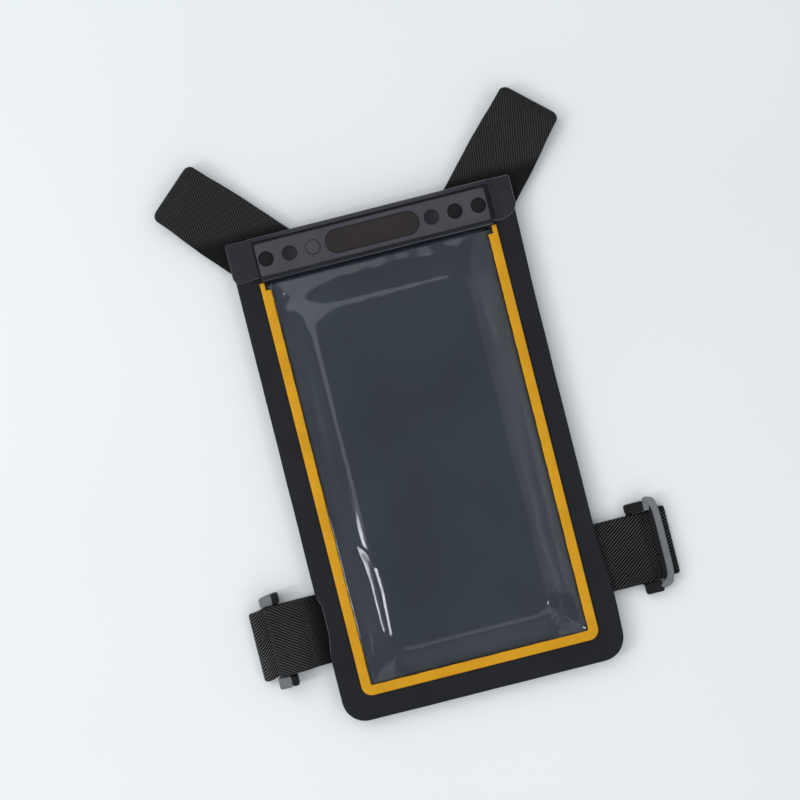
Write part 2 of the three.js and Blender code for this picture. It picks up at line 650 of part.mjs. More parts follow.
// Left slider: heights at which the band passes between its bars and the tab turns round the upper one
const LEFT_LOWER_BAR_Z = WEBBING_THICKNESS + LAYER_GAP;
const LEFT_BAND_Z = LEFT_LOWER_BAR_Z + LEFT_BAR_THICKNESS + LAYER_GAP + WEBBING_THICKNESS / 2;
const LEFT_TAB_LOW_Z = LEFT_BAND_Z + WEBBING_THICKNESS + LAYER_GAP;
const LEFT_UPPER_BAR_Z = LEFT_TAB_LOW_Z + WEBBING_THICKNESS / 2 + LAYER_GAP;
const LEFT_TAB_HIGH_Z = LEFT_UPPER_BAR_Z + LEFT_BAR_THICKNESS + LAYER_GAP + WEBBING_THICKNESS / 2;
const LEFT_BAR_OUTER = LEFT_CAP_INNER + LEFT_CAP_WIDTH - WEBBING_THICKNESS - LAYER_GAP - TAB_OUTER_CLEARANCE;

// A bar of a slider: a box with rounded long edges, from side to side of the strap
function sliderBar(x0, x1, z, thickness, length) {
  const radius = Math.min(thickness, x1 - x0) * SLIDER_BAR_ROUNDING;
  const outline = roundedRectangle(x0, z, x1, z + thickness, radius, radius);
  const options = { depth: length, bevelEnabled: false, curveSegments: SLIDER_ARC_STEPS };
  return new THREE.ExtrudeGeometry(outline, options).rotateX(Math.PI / 2).translate(0, length / 2, 0);
}

// One end block of a slider, from y0 to y1
function sliderCap(x0, x1, z0, z1, y0, y1) {
  const outline = roundedRectangle(x0, y0, x1, y1, SLIDER_CORNER, SLIDER_CORNER);
  return bevelledSheet(outline, z0, z1 - z0, SLIDER_BEVEL);
}

function buildLeftSlider() {
  const inside = WEBBING_WIDTH / 2 + SLIDER_SIDE_GAP;
  const outside = inside + LEFT_CAP_LENGTH;
  const x0 = -LEFT_CAP_INNER - LEFT_CAP_WIDTH;
  const x1 = -LEFT_CAP_INNER;
  const barX0 = -LEFT_BAR_OUTER;
  const barX1 = barX0 + LEFT_BAR_WIDTH;
  const top = LEFT_UPPER_BAR_Z + LEFT_BAR_THICKNESS;
  const barLength = 2 * (outside - SLIDER_BAR_SETBACK);
  const pieces = [
    sliderCap(x0, x1, LEFT_LOWER_BAR_Z, top, inside, outside),
    sliderCap(x0, x1, LEFT_LOWER_BAR_Z, top, -outside, -inside),
    sliderBar(barX0, barX1, LEFT_LOWER_BAR_Z, LEFT_BAR_THICKNESS, barLength),
    sliderBar(barX0, barX1, LEFT_UPPER_BAR_Z, LEFT_BAR_THICKNESS, barLength),
  ];
  const joined = pieces.map(toSolid).reduce((sum, piece) => sum.add(piece));
  addPiece("slider_left", toGeometry(joined), "slider", SIDE_STRAP_Y);
}

function buildRightSlider() {
  const inside = WEBBING_WIDTH / 2 + SLIDER_SIDE_GAP;
  const outside = inside + RIGHT_CAP_LENGTH;
  const outerX0 = RIGHT_SLOT_END;
  const outerX1 = outerX0 + RIGHT_OUTER_BAR_WIDTH;
  const cornerX = outerX1 - RIGHT_BAR_CORNER_X;
  const cornerY = outside - RIGHT_BAR_CORNER_Y;
  const capX1 = outerX0 + RIGHT_CAP_LAP;
  const barLength = 2 * (outside - SLIDER_BAR_SETBACK);
  const low = LAYER_2 - WEBBING_THICKNESS / 2;
  const high = LAYER_3 - WEBBING_THICKNESS / 2;
  const capTop = high + RIGHT_OUTER_BAR_THICKNESS - RIGHT_CAP_STEP;
  const broad = new THREE.Shape();
  broad.moveTo(outerX0, -outside);
  broad.lineTo(cornerX, -outside);
  broad.quadraticCurveTo(outerX1, -outside, outerX1, -cornerY);
  broad.quadraticCurveTo(outerX1 + 2 * RIGHT_BOW, 0, outerX1, cornerY);
  broad.quadraticCurveTo(outerX1, outside, cornerX, outside);
  broad.lineTo(outerX0, outside);
  broad.quadraticCurveTo(outerX0 + 4 * RIGHT_BOW, 0, outerX0, -outside);
  const pieces = [
    bevelledSheet(broad, high, RIGHT_OUTER_BAR_THICKNESS, SLIDER_BEVEL),
    sliderBar(RIGHT_FRAME_INNER, RIGHT_SLOT_START, low, WEBBING_THICKNESS, barLength),
    sliderCap(RIGHT_FRAME_INNER, capX1, low, capTop, inside, outside),
    sliderCap(RIGHT_FRAME_INNER, capX1, low, capTop, -outside, -inside),
  ];
  const joined = pieces.map(toSolid).reduce((sum, piece) => sum.add(piece));
  addPiece("slider_right", toGeometry(joined), "slider", SIDE_STRAP_Y);
}

// Chest band: sewn behind the bag's right edge, over and under the right slider's bars, round behind the bag
// and back through the left slider
function buildChestBand() {
  const anchor = HALF_WIDTH - ANCHOR_LENGTH;
  const dipStart = RIGHT_SLOT_START + RIGHT_BAND_CLEARANCE;
  const dipEnd = RIGHT_SLOT_END - RIGHT_BAND_CLEARANCE;
  const rightRadius = (LAYER_2 - LAYER_1) / 2;
  const rightTurn = RIGHT_REACH - WEBBING_THICKNESS / 2 - rightRadius;
  const leftRadius = (LEFT_BAND_Z - LAYER_1) / 2;
  const leftTurn = -LEFT_REACH + WEBBING_THICKNESS / 2 + leftRadius;
  const path = new THREE.Path();
  path.moveTo(anchor, LAYER_3);
  path.lineTo(dipStart, LAYER_3);
  easeTo(path, dipStart, LAYER_3, dipEnd, LAYER_2);
  path.lineTo(rightTurn, LAYER_2);
  path.absarc(rightTurn, (LAYER_1 + LAYER_2) / 2, rightRadius, Math.PI / 2, -Math.PI / 2, true);
  path.lineTo(leftTurn, LAYER_1);
  path.absarc(leftTurn, (LAYER_1 + LEFT_BAND_Z) / 2, leftRadius, 1.5 * Math.PI, Math.PI / 2, true);
  path.lineTo(-LEFT_BAR_OUTER + LEFT_BAR_WIDTH + BAND_TAIL, LEFT_BAND_Z);
  addPiece("chest_band", sideWebbing(path), "webbing", SIDE_STRAP_Y);
}

// Left tab: sewn behind the bag's left edge, out over the slider, round its upper bar and back to the bag
function buildLeftTab() {
  const anchor = -HALF_WIDTH + ANCHOR_LENGTH;
  const edge = -HALF_WIDTH - TAB_SEWN_PAST_EDGE;
  const over = -LEFT_CAP_INNER + TAB_OVER_CAP;
  const radius = (LEFT_TAB_HIGH_Z - LEFT_TAB_LOW_Z) / 2;
  const turn = -LEFT_BAR_OUTER + LEFT_BAR_THICKNESS / 2;
  const under = -LEFT_CAP_INNER + TAB_UNDER_CAP;
  const lowEndZ = LAYER_3 - WEBBING_THICKNESS - LAYER_GAP;
  const path = new THREE.Path();
  path.moveTo(anchor, LAYER_3);
  path.lineTo(edge, LAYER_3);
  easeTo(path, edge, LAYER_3, over, LEFT_TAB_HIGH_Z);
  path.lineTo(turn, LEFT_TAB_HIGH_Z);
  path.absarc(turn, (LEFT_TAB_HIGH_Z + LEFT_TAB_LOW_Z) / 2, radius, Math.PI / 2, 1.5 * Math.PI, false);
  path.lineTo(under, LEFT_TAB_LOW_Z);
  easeTo(path, under, LEFT_TAB_LOW_Z, edge - TAB_SEWN_PAST_EDGE / 2, lowEndZ);
  addPiece("side_tab_left", sideWebbing(path), "webbing", SIDE_STRAP_Y);
}

// One shoulder strap: side is -1 for left and 1 for right, and over puts it on top where the two cross
function shoulderStrap(side, over) {
  const upAngle = THREE.MathUtils.degToRad(SHOULDER_ANGLE);
  const downAngle = THREE.MathUtils.degToRad(SHOULDER_LOWER_ANGLE);
  const out = new THREE.Vector2(side * Math.cos(upAngle), Math.sin(upAngle));
  const root = new THREE.Vector2(side * SHOULDER_ROOT_X, HEADER_TOP - SHOULDER_ROOT_BELOW_TOP);
  const foldAt = SHOULDER_REACH - SHOULDER_FOLD_RADIUS - WEBBING_THICKNESS / 2;
  const fold = root.clone().addScaledVector(out, foldAt);
  const foldTop = LAYER_1 + 2 * SHOULDER_FOLD_RADIUS;
  const acrossOut = new THREE.Vector3(-out.y, out.x, 0);
  const rows = [];

  const addRow = (plan, z, across, width) => {
    rows.push({ point: new THREE.Vector3(plan.x, plan.y, z), across, width });
  };

  // Upper run: flat under the header, then rising to the top of the fold
  const riseStart = SHOULDER_ROOT_BELOW_TOP / Math.sin(upAngle) + SHOULDER_FLAT_ROOT;
  addRow(root.clone().addScaledVector(out, -SHOULDER_ANCHOR), LAYER_3, acrossOut, WEBBING_WIDTH);
  for (let i = 0; i <= ARC_STEPS; i++) {
    const share = i / ARC_STEPS;
    const plan = root.clone().addScaledVector(out, riseStart + (foldAt - riseStart) * share);
    const width = WEBBING_WIDTH + (SHOULDER_FOLD_WIDTH - WEBBING_WIDTH) * smooth(share);
    addRow(plan, LAYER_3 + (foldTop - LAYER_3) * smooth(share), acrossOut, width);
  }

  // Fold: half a turn, narrower where it reaches out, so that its corners are rounded in plan
  const outerRadius = SHOULDER_FOLD_RADIUS + WEBBING_THICKNESS / 2;
  for (let i = 1; i < 2 * ARC_STEPS; i++) {
    const turn = (Math.PI * i) / (2 * ARC_STEPS);
    const plan = fold.clone().addScaledVector(out, SHOULDER_FOLD_RADIUS * Math.sin(turn));
    const z = LAYER_1 + SHOULDER_FOLD_RADIUS * (1 + Math.cos(turn));
    const past = Math.max(outerRadius * Math.sin(turn) - outerRadius + SHOULDER_FOLD_CORNER, 0);
    const inset = SHOULDER_FOLD_CORNER - Math.sqrt(Math.max(SHOULDER_FOLD_CORNER ** 2 - past ** 2, 0));
    addRow(plan, z, acrossOut, SHOULDER_FOLD_WIDTH - 2 * inset);
  }

  // Lower run: straight back under the upper one, eased round, and down to the chest band
  const down = new THREE.Vector2(-side * Math.cos(downAngle), -Math.sin(downAngle));
  const corner = fold.clone().addScaledVector(out, -SHOULDER_BEND_AT);
  const bendStart = fold.clone().addScaledVector(out, -SHOULDER_BEND_AT + SHOULDER_BEND_HALF);
  const bendEnd = corner.clone().addScaledVector(down, SHOULDER_BEND_HALF);
  const endY = SIDE_STRAP_Y - SHOULDER_END_BELOW_BAND;
  const end = corner.clone().addScaledVector(down, (corner.y - endY) / Math.sin(downAngle));
  const plan = new THREE.Path();
  plan.moveTo(fold.x, fold.y);
  plan.lineTo(bendStart.x, bendStart.y);
  plan.quadraticCurveTo(corner.x, corner.y, bendEnd.x, bendEnd.y);
  plan.lineTo(end.x, end.y);
  const crossingY = corner.y - Math.abs(corner.x) * Math.tan(downAngle);
  const crossingAngle = Math.PI - 2 * downAngle;
  const overlap = ((WEBBING_WIDTH / 2) * (1 + Math.cos(crossingAngle))) / Math.sin(crossingAngle);
  const riseFrom = over
    ? crossingY + overlap + RAMP + CROSSING_CLEARANCE
    : SIDE_STRAP_Y + (WEBBING_WIDTH / 2) * (1 + Math.cos(downAngle)) + RAMP + BAND_CLEARANCE;
  const length = plan.getLength();
  const steps = Math.round(length / ROW_STEP);
  for (let i = 0; i <= steps; i++) {
    const point = plan.getPointAt(i / steps);
    const heading = plan.getTangentAt(i / steps);
    const across = new THREE.Vector3(heading.y, -heading.x, 0);
    const z = LAYER_1 + (LAYER_2 - LAYER_1) * smooth((riseFrom - point.y) / RAMP);
    const widened = smooth(i / (steps * SHOULDER_WIDEN_SHARE));
    const width = SHOULDER_FOLD_WIDTH + (WEBBING_WIDTH - SHOULDER_FOLD_WIDTH) * widened;
    addRow(point, z, across, width);
  }
  return webbing(rows);
}

buildBackPanel();
buildFrontFrame();
buildWeldBand();
buildWindowFilm();
buildHeaderSheet();
buildClosure();
buildLeftSlider();
buildRightSlider();
buildChestBand();
buildLeftTab();
addPiece("shoulder_strap_left", shoulderStrap(-1, false), "webbing");
addPiece("shoulder_strap_right", shoulderStrap(1, true), "webbing");

// The origin is the middle of the whole part in plan, on the surface that it lies on
const extent = new THREE.Box3().setFromObject(bag);
bag.position.x = -(extent.min.x + extent.max.x) / 2;
bag.position.y = -(extent.min.y + extent.max.y) / 2;

const part = new THREE.Group();
part.add(bag);

export default part;
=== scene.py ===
import math

import bpy
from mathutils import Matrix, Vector, noise


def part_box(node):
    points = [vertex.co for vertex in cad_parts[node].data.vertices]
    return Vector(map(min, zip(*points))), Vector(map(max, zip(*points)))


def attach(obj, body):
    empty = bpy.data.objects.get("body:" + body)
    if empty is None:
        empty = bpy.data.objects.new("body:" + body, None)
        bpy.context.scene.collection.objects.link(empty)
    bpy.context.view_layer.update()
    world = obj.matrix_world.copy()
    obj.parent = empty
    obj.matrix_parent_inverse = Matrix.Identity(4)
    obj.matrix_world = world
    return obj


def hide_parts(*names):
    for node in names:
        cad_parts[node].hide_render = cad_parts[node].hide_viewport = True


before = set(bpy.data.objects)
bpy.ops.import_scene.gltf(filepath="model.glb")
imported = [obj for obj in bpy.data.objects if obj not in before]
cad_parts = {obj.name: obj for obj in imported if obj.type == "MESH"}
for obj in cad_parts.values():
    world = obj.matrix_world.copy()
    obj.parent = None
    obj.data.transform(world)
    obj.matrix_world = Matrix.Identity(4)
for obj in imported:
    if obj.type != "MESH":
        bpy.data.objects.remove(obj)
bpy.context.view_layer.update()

MM = 0.001

# Places and sizes read from the frame, in metres
back_low, back_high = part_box("back_panel")
border_low, border_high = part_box("front_frame")
weld_low, weld_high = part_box("weld_band")
film_low, film_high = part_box("window_film")
header_low, header_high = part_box("header_sheet")
bar_low, bar_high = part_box("closure_bar_front")
band_low, band_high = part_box("chest_band")
tab_low, tab_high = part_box("side_tab_left")
slider_left_low, slider_left_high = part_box("slider_left")
slider_right_low, slider_right_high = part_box("slider_right")

BAG_BOTTOM = back_low.y
BAG_TOP = back_high.y
HALF_WIDTH = back_high.x
BAG_CORNER = 10 * MM
WELD_OUTER = weld_high.x
WELD_WIDTH = 4.3 * MM
WELD_INNER = WELD_OUTER - WELD_WIDTH
WELD_BOTTOM = weld_low.y
WELD_TOP = weld_high.y
WELD_CORNER = 4.5 * MM
WELD_INNER_CORNER = 0.8 * MM
WELD_STEP_WIDTH = 2.1 * MM
WELD_STEP_LENGTH = 3.5 * MM
WINDOW_LAP = 0.4 * MM
FILM_THICKNESS = 0.5 * MM
FILM_EDGE_Z = film_low.z + FILM_THICKNESS
HEADER_THICKNESS = 0.8 * MM
WEBBING_WIDTH = band_high.y - band_low.y
WEBBING_DEPTH = 1.6 * MM
LAYER_GAP = 0.3 * MM
SIDE_Y = (band_low.y + band_high.y) / 2


def eased(value):
    """The value kept between 0 and 1, with soft ends."""
    t = min(max(value, 0.0), 1.0)
    return t * t * (3 - 2 * t)


def bell(value):
    return 1 - eased(abs(value))


def mix(low, high, share):
    return low + (high - low) * share


def spread(start, end, step):
    count = max(1, round(abs(end - start) / step))
    return [start + (end - start) * i / count for i in range(count + 1)]


def grid(xs, ys):
    """Columns of plan points for sheet_grid."""
    return [[(x, y) for y in ys] for x in xs]


def graded(start, end, fine, steps):
    """Places from start to end with three steps: before, between and past the two places in fine."""
    before, between, past = steps
    return spread(start, fine[0], before) + spread(*fine, between)[1:] + spread(fine[1], end, past)[1:]


def circle_angles(count):
    return [2 * math.pi * k / count for k in range(count)]


def corner_inset(radius, past):
    """How far a rounded corner lies inside the square one, this far past the corner's start."""
    return radius - math.sqrt(max(radius ** 2 - max(past, 0.0) ** 2, 0.0))


def ripple(x, y, scale, seed):
    """Soft noise of about -1 to 1, with waves of the given length."""
    return noise.noise(Vector((x / scale, y / scale, seed)))


# Small helpers for meshes

class Build:
    """Gathers faces with their materials, then makes one object of them."""

    def __init__(self):
        self.verts, self.faces, self.looks, self.materials = [], [], [], []

    def add(self, verts, faces, material):
        if material not in self.materials:
            self.materials.append(material)
        look = self.materials.index(material)
        start = len(self.verts)
        self.verts += verts
        self.faces += [[start + k for k in face] for face in faces]
        self.looks += [look] * len(faces)

    def finish(self, name, smooth=True):
        mesh = bpy.data.meshes.new(name)
        mesh.from_pydata(self.verts, [], self.faces)
        for material in self.materials:
            mesh.materials.append(material)
        for polygon, look in zip(mesh.polygons, self.looks):
            polygon.material_index = look
            polygon.use_smooth = smooth
        mesh.update()
        obj = bpy.data.objects.new(name, mesh)
        bpy.context.scene.collection.objects.link(obj)
        return obj


def new_object(name, verts, faces, material):
    build = Build()
    build.add(verts, faces, material)
    return build.finish(name)


def loft(loops):
    """Vertices and faces of a closed body through loops of equal length, the first and last ones filled."""
    count = len(loops[0])
    verts = [v for loop in loops for v in loop]
    faces = []
    for i in range(len(loops) - 1):
        for k in range(count):
            a, b = i * count + k, i * count + (k + 1) % count
            faces.append([a, b, b + count, a + count])
    last = (len(loops) - 1) * count
    return verts, faces + [list(range(count))[::-1], [last + k for k in range(count)]]


def bevel(obj, width, segments):
    modifier = obj.modifiers.new("edge", "BEVEL")
    modifier.width = width
    modifier.segments = segments
    modifier.limit_method = "ANGLE"


def finish_piece(obj, slot, *nodes):
    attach(obj, "root")
    if nodes:
        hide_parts(*nodes)


# Small helpers for materials

class Nodes:
    """Builds a material's node tree with short calls."""

    def __init__(self, name):
        self.material = bpy.data.materials.new(name)
        self.material.use_nodes = True
        self.tree = self.material.node_tree
        self.tree.nodes.clear()

    def add(self, kind, inputs=None, **settings):
        """A node with its settings. Its inputs are linked or set, and those given as None are left alone."""
        node = self.tree.nodes.new(kind)
        for key, value in settings.items():
            setattr(node, key, value)
        for key, value in (inputs or {}).items():
            if isinstance(value, bpy.types.NodeSocket):
                self.tree.links.new(value, node.inputs[key])
            elif value is not None:
                node.inputs[key].default_value = value
        return node

    def position(self):
        return self.add("ShaderNodeTexCoord").outputs["Object"]

    def noise(self, scale, detail=4.0, roughness=0.55):
        inputs = {"Vector": self.position(), "Scale": scale, "Detail": detail, "Roughness": roughness}
        return self.add("ShaderNodeTexNoise", inputs).outputs["Fac"]

    def ramp(self, fac, *stops):
        node = self.add("ShaderNodeValToRGB", {"Fac": fac})
        elements = node.color_ramp.elements
        while len(elements) < len(stops):
            elements.new(0.5)
        for element, (place, colour) in zip(elements, stops):
            element.position = place
            element.color = (*colour, 1)
        return node.outputs["Color"]

    def levels(self, fac, low, high, start=0.0, end=1.0):
        """low where fac is at start, high where it is at end, and no further."""
        inputs = {"Value": fac, "From Min": start, "From Max": end, "To Min": low, "To Max": high}
        return self.add("ShaderNodeMapRange", inputs).outputs["Result"]

    def math(self, operation, a, b=None):
        return self.add("ShaderNodeMath", {0: a, 1: b}, operation=operation).outputs[0]

    def sum(self, a, a_factor, b, b_factor):
        """a and b, each times its factor, added up."""
        return self.math("ADD", self.math("MULTIPLY", a, a_factor), self.math("MULTIPLY", b, b_factor))

    def bump(self, height, strength, distance, normal=None):
        inputs = {"Height": height, "Strength": strength, "Distance": distance, "Normal": normal}
        return self.add("ShaderNodeBump", inputs).outputs["Normal"]

    def finish(self, shader):
        """The material, with this shader on its surface."""
        self.add("ShaderNodeOutputMaterial", {"Surface": shader.outputs[0]})
        return self.material

    def principled(self, **inputs):
        """The material, with a Principled shader of these inputs."""
        names = {key.replace("_", " "): value for key, value in inputs.items()}
        return self.finish(self.add("ShaderNodeBsdfPrincipled", names))


def linear(red, green, blue):
    """An sRGB colour of 0 to 255 as linear values."""
    def one(value):
        c = value / 255
        return c / 12.92 if c <= 0.04045 else ((c + 0.055) / 1.055) ** 2.4
    return one(red), one(green), one(blue)


def scaled(colour, factor):
    return tuple(min(c * factor, 1.0) for c in colour)


# Name of the mesh attribute that places a painted highlight along a sheet's cut edge
RIM_HIGHLIGHT = "rim_highlight"
DASH_PITCH = 0.9 * MM
DASH_SHIFT = 2400  # radians of the dashes' phase for each metre across the ribs
CALM_FADE = 0.8 * MM
FILM_TINT = (0.95, 0.965, 0.98)
FILM_HAZE = (0.5, 0.57, 0.66)
FILM_GLOSS = (0.95, 0.97, 1.0)
FILM_IOR = 1.33


def coated_sheet(name, colour, roughness=0.6, grain=0.3, shine=0.1, rim_highlight=None):
    """Coated fabric sheet: a fine leathery grain, soft cloudy shade and faint scuffs.

    rim is the colour of a painted highlight along the cut edge, which the mesh attribute RIM_HIGHLIGHT
    places.
    """
    n = Nodes(name)
    cloud = n.noise(38, 3)
    grain_height = n.noise(1500, 2)
    scuff = n.noise(260, 6, roughness=0.7)
    base = n.ramp(cloud, (0.3, scaled(colour, 0.84)), (0.7, scaled(colour, 1.18)))
    if rim_highlight:
        share = n.add("ShaderNodeAttribute", attribute_name=RIM_HIGHLIGHT).outputs["Fac"]
        base = n.add("ShaderNodeMixRGB", {"Fac": share, "Color1": base, "Color2": (*rim_highlight, 1)}).outputs[0]
    rough = n.levels(scuff, roughness - 0.1, roughness + 0.12)
    fine = n.bump(grain_height, grain, 0.0002)
    normal = n.bump(cloud, 0.2, 0.0012, fine)
    return n.principled(Base_Color=base, Roughness=rough, Normal=normal, Specular_IOR_Level=shine)


def weld_tape(name, colour):
    """Welded tape: satin, with faint ripples and slightly darker pressed spots."""
    n = Nodes(name)
    cloud = n.noise(90, 4)
    fine = n.noise(420, 3)
    base = n.ramp(cloud, (0.25, scaled(colour, 0.86)), (0.75, scaled(colour, 1.06)))
    rough = n.levels(fine, 0.42, 0.62)
    normal = n.bump(fine, 0.2, 0.0003)
    return n.principled(Base_Color=base, Roughness=rough, Normal=normal, Specular_IOR_Level=0.15)


def moulded_rubber(name, colour, roughness, shine=0.15):
    """Moulded rubber or plastic: fine spark grain, faint flow clouds."""
    n = Nodes(name)
    cloud = n.noise(60, 4)
    grain = n.noise(2600, 2)
    base = n.ramp(cloud, (0.3, scaled(colour, 0.9)), (0.7, scaled(colour, 1.12)))
    rough = n.levels(n.noise(300, 5), roughness - 0.08, roughness + 0.1)
    normal = n.bump(grain, 0.25, 0.00012)
    return n.principled(Base_Color=base, Roughness=rough, Normal=normal, Specular_IOR_Level=shine)


def webbing_material(name, slant, pitch, shades, shadow=None, calm=None):
    """Elastic webbing: fine twill ribs at a slant (degrees from its length), broken into short dashes.

    shades are the dark, middle and light greys. shadow gives a painted shadow: an axis, where on it the
    webbing is darkest and where that ends. calm is a stretch of the webbing, by run, with hardly any ribs.
    """
    n = Nodes(name)
    strip = n.add("ShaderNodeUVMap", uv_map="strip").outputs["UV"]
    along, across, _ = n.add("ShaderNodeSeparateXYZ", {"Vector": strip}).outputs
    angle = math.radians(slant)
    wobble = n.math("MULTIPLY", n.math("SUBTRACT", n.noise(160, 3), 0.5), pitch * 0.9)
    beside = n.math("ADD", n.sum(along, -math.sin(angle), across, math.cos(angle)), wobble)
    down = n.sum(along, math.cos(angle), across, math.sin(angle))
    rib = n.math("SINE", n.math("MULTIPLY", beside, 2 * math.pi / pitch))
    dash = n.math("SINE", n.sum(down, 2 * math.pi / DASH_PITCH, beside, DASH_SHIFT))
    weave = n.sum(rib, 0.38, dash, 0.1)
    if calm:
        into = n.levels(along, 1.0, 0.2, calm[0], calm[0] + CALM_FADE)
        out = n.levels(along, 0.0, 0.8, calm[1] - CALM_FADE, calm[1])
        weave = n.math("MULTIPLY", weave, n.math("ADD", into, out))
    fuzz = n.math("SUBTRACT", n.noise(1300, 3), 0.5)
    mixed = n.math("ADD", n.sum(weave, 1.0, fuzz, 0.45), 0.5)
    shade = n.math("MULTIPLY", mixed, n.levels(n.noise(45, 3), 0.8, 1.2))
    # Painted shadow: the webbing darkened along one axis, up to where that ends
    if shadow:
        axis, darkest, end = shadow
        place = n.add("ShaderNodeSeparateXYZ", {"Vector": n.position()}).outputs[axis]
        shade = n.math("MULTIPLY", shade, n.levels(place, 0.3, 1.0, darkest, end))
    dark, middle, light = (linear(*(level,) * 3) for level in shades)
    base = n.ramp(shade, (0.12, dark), (0.5, middle), (0.92, light))
    normal = n.bump(mixed, 0.9, 0.0003)
    return n.principled(Base_Color=base, Roughness=0.9, Normal=normal, Specular_IOR_Level=0.08,
                        Sheen_Weight=0.03)


def film_material(name):
    """Clear soft film: see-through, with a mirror-like gloss that grows at a glance, and a faint haze."""
    n = Nodes(name)
    clear = n.add("ShaderNodeBsdfTransparent", {"Color": (*FILM_TINT, 1)})
    rough = n.levels(n.noise(70, 3), 0.05, 0.11)
    gloss = n.add("ShaderNodeBsdfGlossy", {"Color": (*FILM_GLOSS, 1), "Roughness": rough})
    haze = n.add("ShaderNodeBsdfDiffuse", {"Color": (*FILM_HAZE, 1)})
    fresnel = n.add("ShaderNodeFresnel", {"IOR": FILM_IOR}).outputs[0]
    cloudy = n.levels(n.noise(24, 4), 0.0, 0.025)
    body = n.add("ShaderNodeMixShader", {0: cloudy, 1: clear.outputs[0], 2: haze.outputs[0]})
    return n.finish(n.add("ShaderNodeMixShader", {0: fresnel, 1: body.outputs[0], 2: gloss.outputs[0]}))


BODY = coated_sheet("body_sheet", linear(32, 33, 37))
# Pale copy of the body sheet: a painted highlight on the turned edge beside the tab
EDGE_HIGHLIGHT = coated_sheet("body_edge_highlight", linear(92, 92, 97))
LINING = coated_sheet("lining_sheet", linear(37, 43, 52), 0.6, 0.03, 0.06)
# The header's pale rim is a painted highlight along its cut edge, with a hint of it above the bar
HEADER = coated_sheet("header_sheet_coat", linear(43, 42, 49), 0.55, rim_highlight=linear(100, 100, 106))
BAR = moulded_rubber("bar_rubber", linear(66, 67, 72), 0.55)
# Darker rubber of the dimples: painted shade in the recesses
DIMPLE_PAINTED_SHADE = moulded_rubber("bar_dimple_painted_shade", linear(34, 34, 37), 0.5)
BAR_BACK = moulded_rubber("bar_back_rubber", linear(40, 40, 44), 0.55)
PLATE = moulded_rubber("plate_plastic", linear(42, 37, 37), 0.42)
MAGNET = moulded_rubber("magnet_coat", linear(27, 27, 28), 0.5, 0.06)
WELD = weld_tape("weld_tape", linear(211, 152, 24))
# Painted shadow on the shoulder straps, just above the header's top edge
HEADER_PAINTED_SHADOW = ("Y", header_high.y, header_high.y + 5 * MM)
SHOULDER_CALM = (63.4 * MM, 76 * MM)
SHOULDER_LOOK = (1.02 * MM, (21, 37, 62), HEADER_PAINTED_SHADOW, SHOULDER_CALM)
SHOULDER_LEFT = webbing_material("webbing_shoulder_left", -34.2, *SHOULDER_LOOK)
SHOULDER_RIGHT = webbing_material("webbing_shoulder_right", 34.2, *SHOULDER_LOOK)
BAND_RIGHT = webbing_material("webbing_band_right", 36, 1.09 * MM, (0, 8, 78))
BAND_LEFT = webbing_material("webbing_band_left", 36, 1.04 * MM, (4, 22, 104))
# Painted shadow on the tab, beside the bag's left edge
BAG_EDGE_PAINTED_SHADOW = ("X", -HALF_WIDTH - 0.5 * MM, -HALF_WIDTH - 6 * MM)
TAB = webbing_material("webbing_tab", 36, 1.09 * MM, (14, 32, 76), BAG_EDGE_PAINTED_SHADOW)
FILM = film_material("window_film_clear")
SLIDER_GREY = moulded_rubber("slider_grey", linear(112, 115, 118), 0.5)
SLIDER_DARK = moulded_rubber("slider_dark", linear(29, 29, 31), 0.5, 0.08)


# Flat sheets along a U: left side down, round the bottom, right side up

def u_line(half, bottom, top, radius, side_steps):
    """Points of a U with rounded corners, as many of them at any size."""
    left = [Vector((-half, mix(top, bottom + radius, i / side_steps))) for i in range(side_steps + 1)]
    corner = [Vector((-half + radius * (1 - math.cos(a)), bottom + radius * (1 - math.sin(a))))
              for a in spread(0, math.pi / 2, math.pi / 28)[1:]]
    reach = half - radius
    bottom_run = [Vector((x, bottom)) for x in spread(-reach, reach, reach / 30)[1:-1]]
    right = [Vector((-p.x, p.y)) for p in reversed(left + corner)]
    return left + corner + bottom_run + right


def strip_section(outer, inner, low, high, edge, count, top_wave):
    """A section of a flat strip from its outer to its inner edge, closed, with rounded edges."""
    width = (inner - outer).length
    middle = (low + high) / 2
    side = [(0.0, middle), (edge * 0.3, mix(middle, high, 0.75)), (edge, high)]
    runs = side + [(mix(edge, width - edge, i / count), high) for i in range(1, count)]
    runs += [(width - at, z) for at, z in reversed(side)]
    top, under = [], []
    for at, z in runs:
        p = outer.lerp(inner, at / width)
        lift = top_wave(p.x, p.y, at / width)
        top.append(Vector((p.x, p.y, z + lift)))
        under.append(Vector((p.x, p.y, low + (middle - low) * (z == middle))))
    return top + under[-2:0:-1]


# How the bag's side edges are drawn in beside the webbing
TAB_PULL = 1.9 * MM
TAB_PULL_ABOVE = 6 * MM
TAB_PULL_BELOW = 15 * MM
STRAP_PULL = 0.8 * MM
STRAP_PULL_BELOW = 26 * MM
STRAP_PULL_ABOVE = 60 * MM
EDGE_WAVER = 0.18 * MM
EDGE_FOLD_RADIUS = 0.5 * MM
EDGE_CURL = 0.55 * MM


def edge_pull(y):
    """How far the bag's left edge is drawn in where the tab is sewn on."""
    from_tab_top = SIDE_Y + WEBBING_WIDTH / 2 + 0.4 * MM - y
    from_tab_foot = y - SIDE_Y + WEBBING_WIDTH / 2 + 0.6 * MM
    return TAB_PULL * eased(from_tab_top / TAB_PULL_ABOVE) * eased(from_tab_foot / TAB_PULL_BELOW)


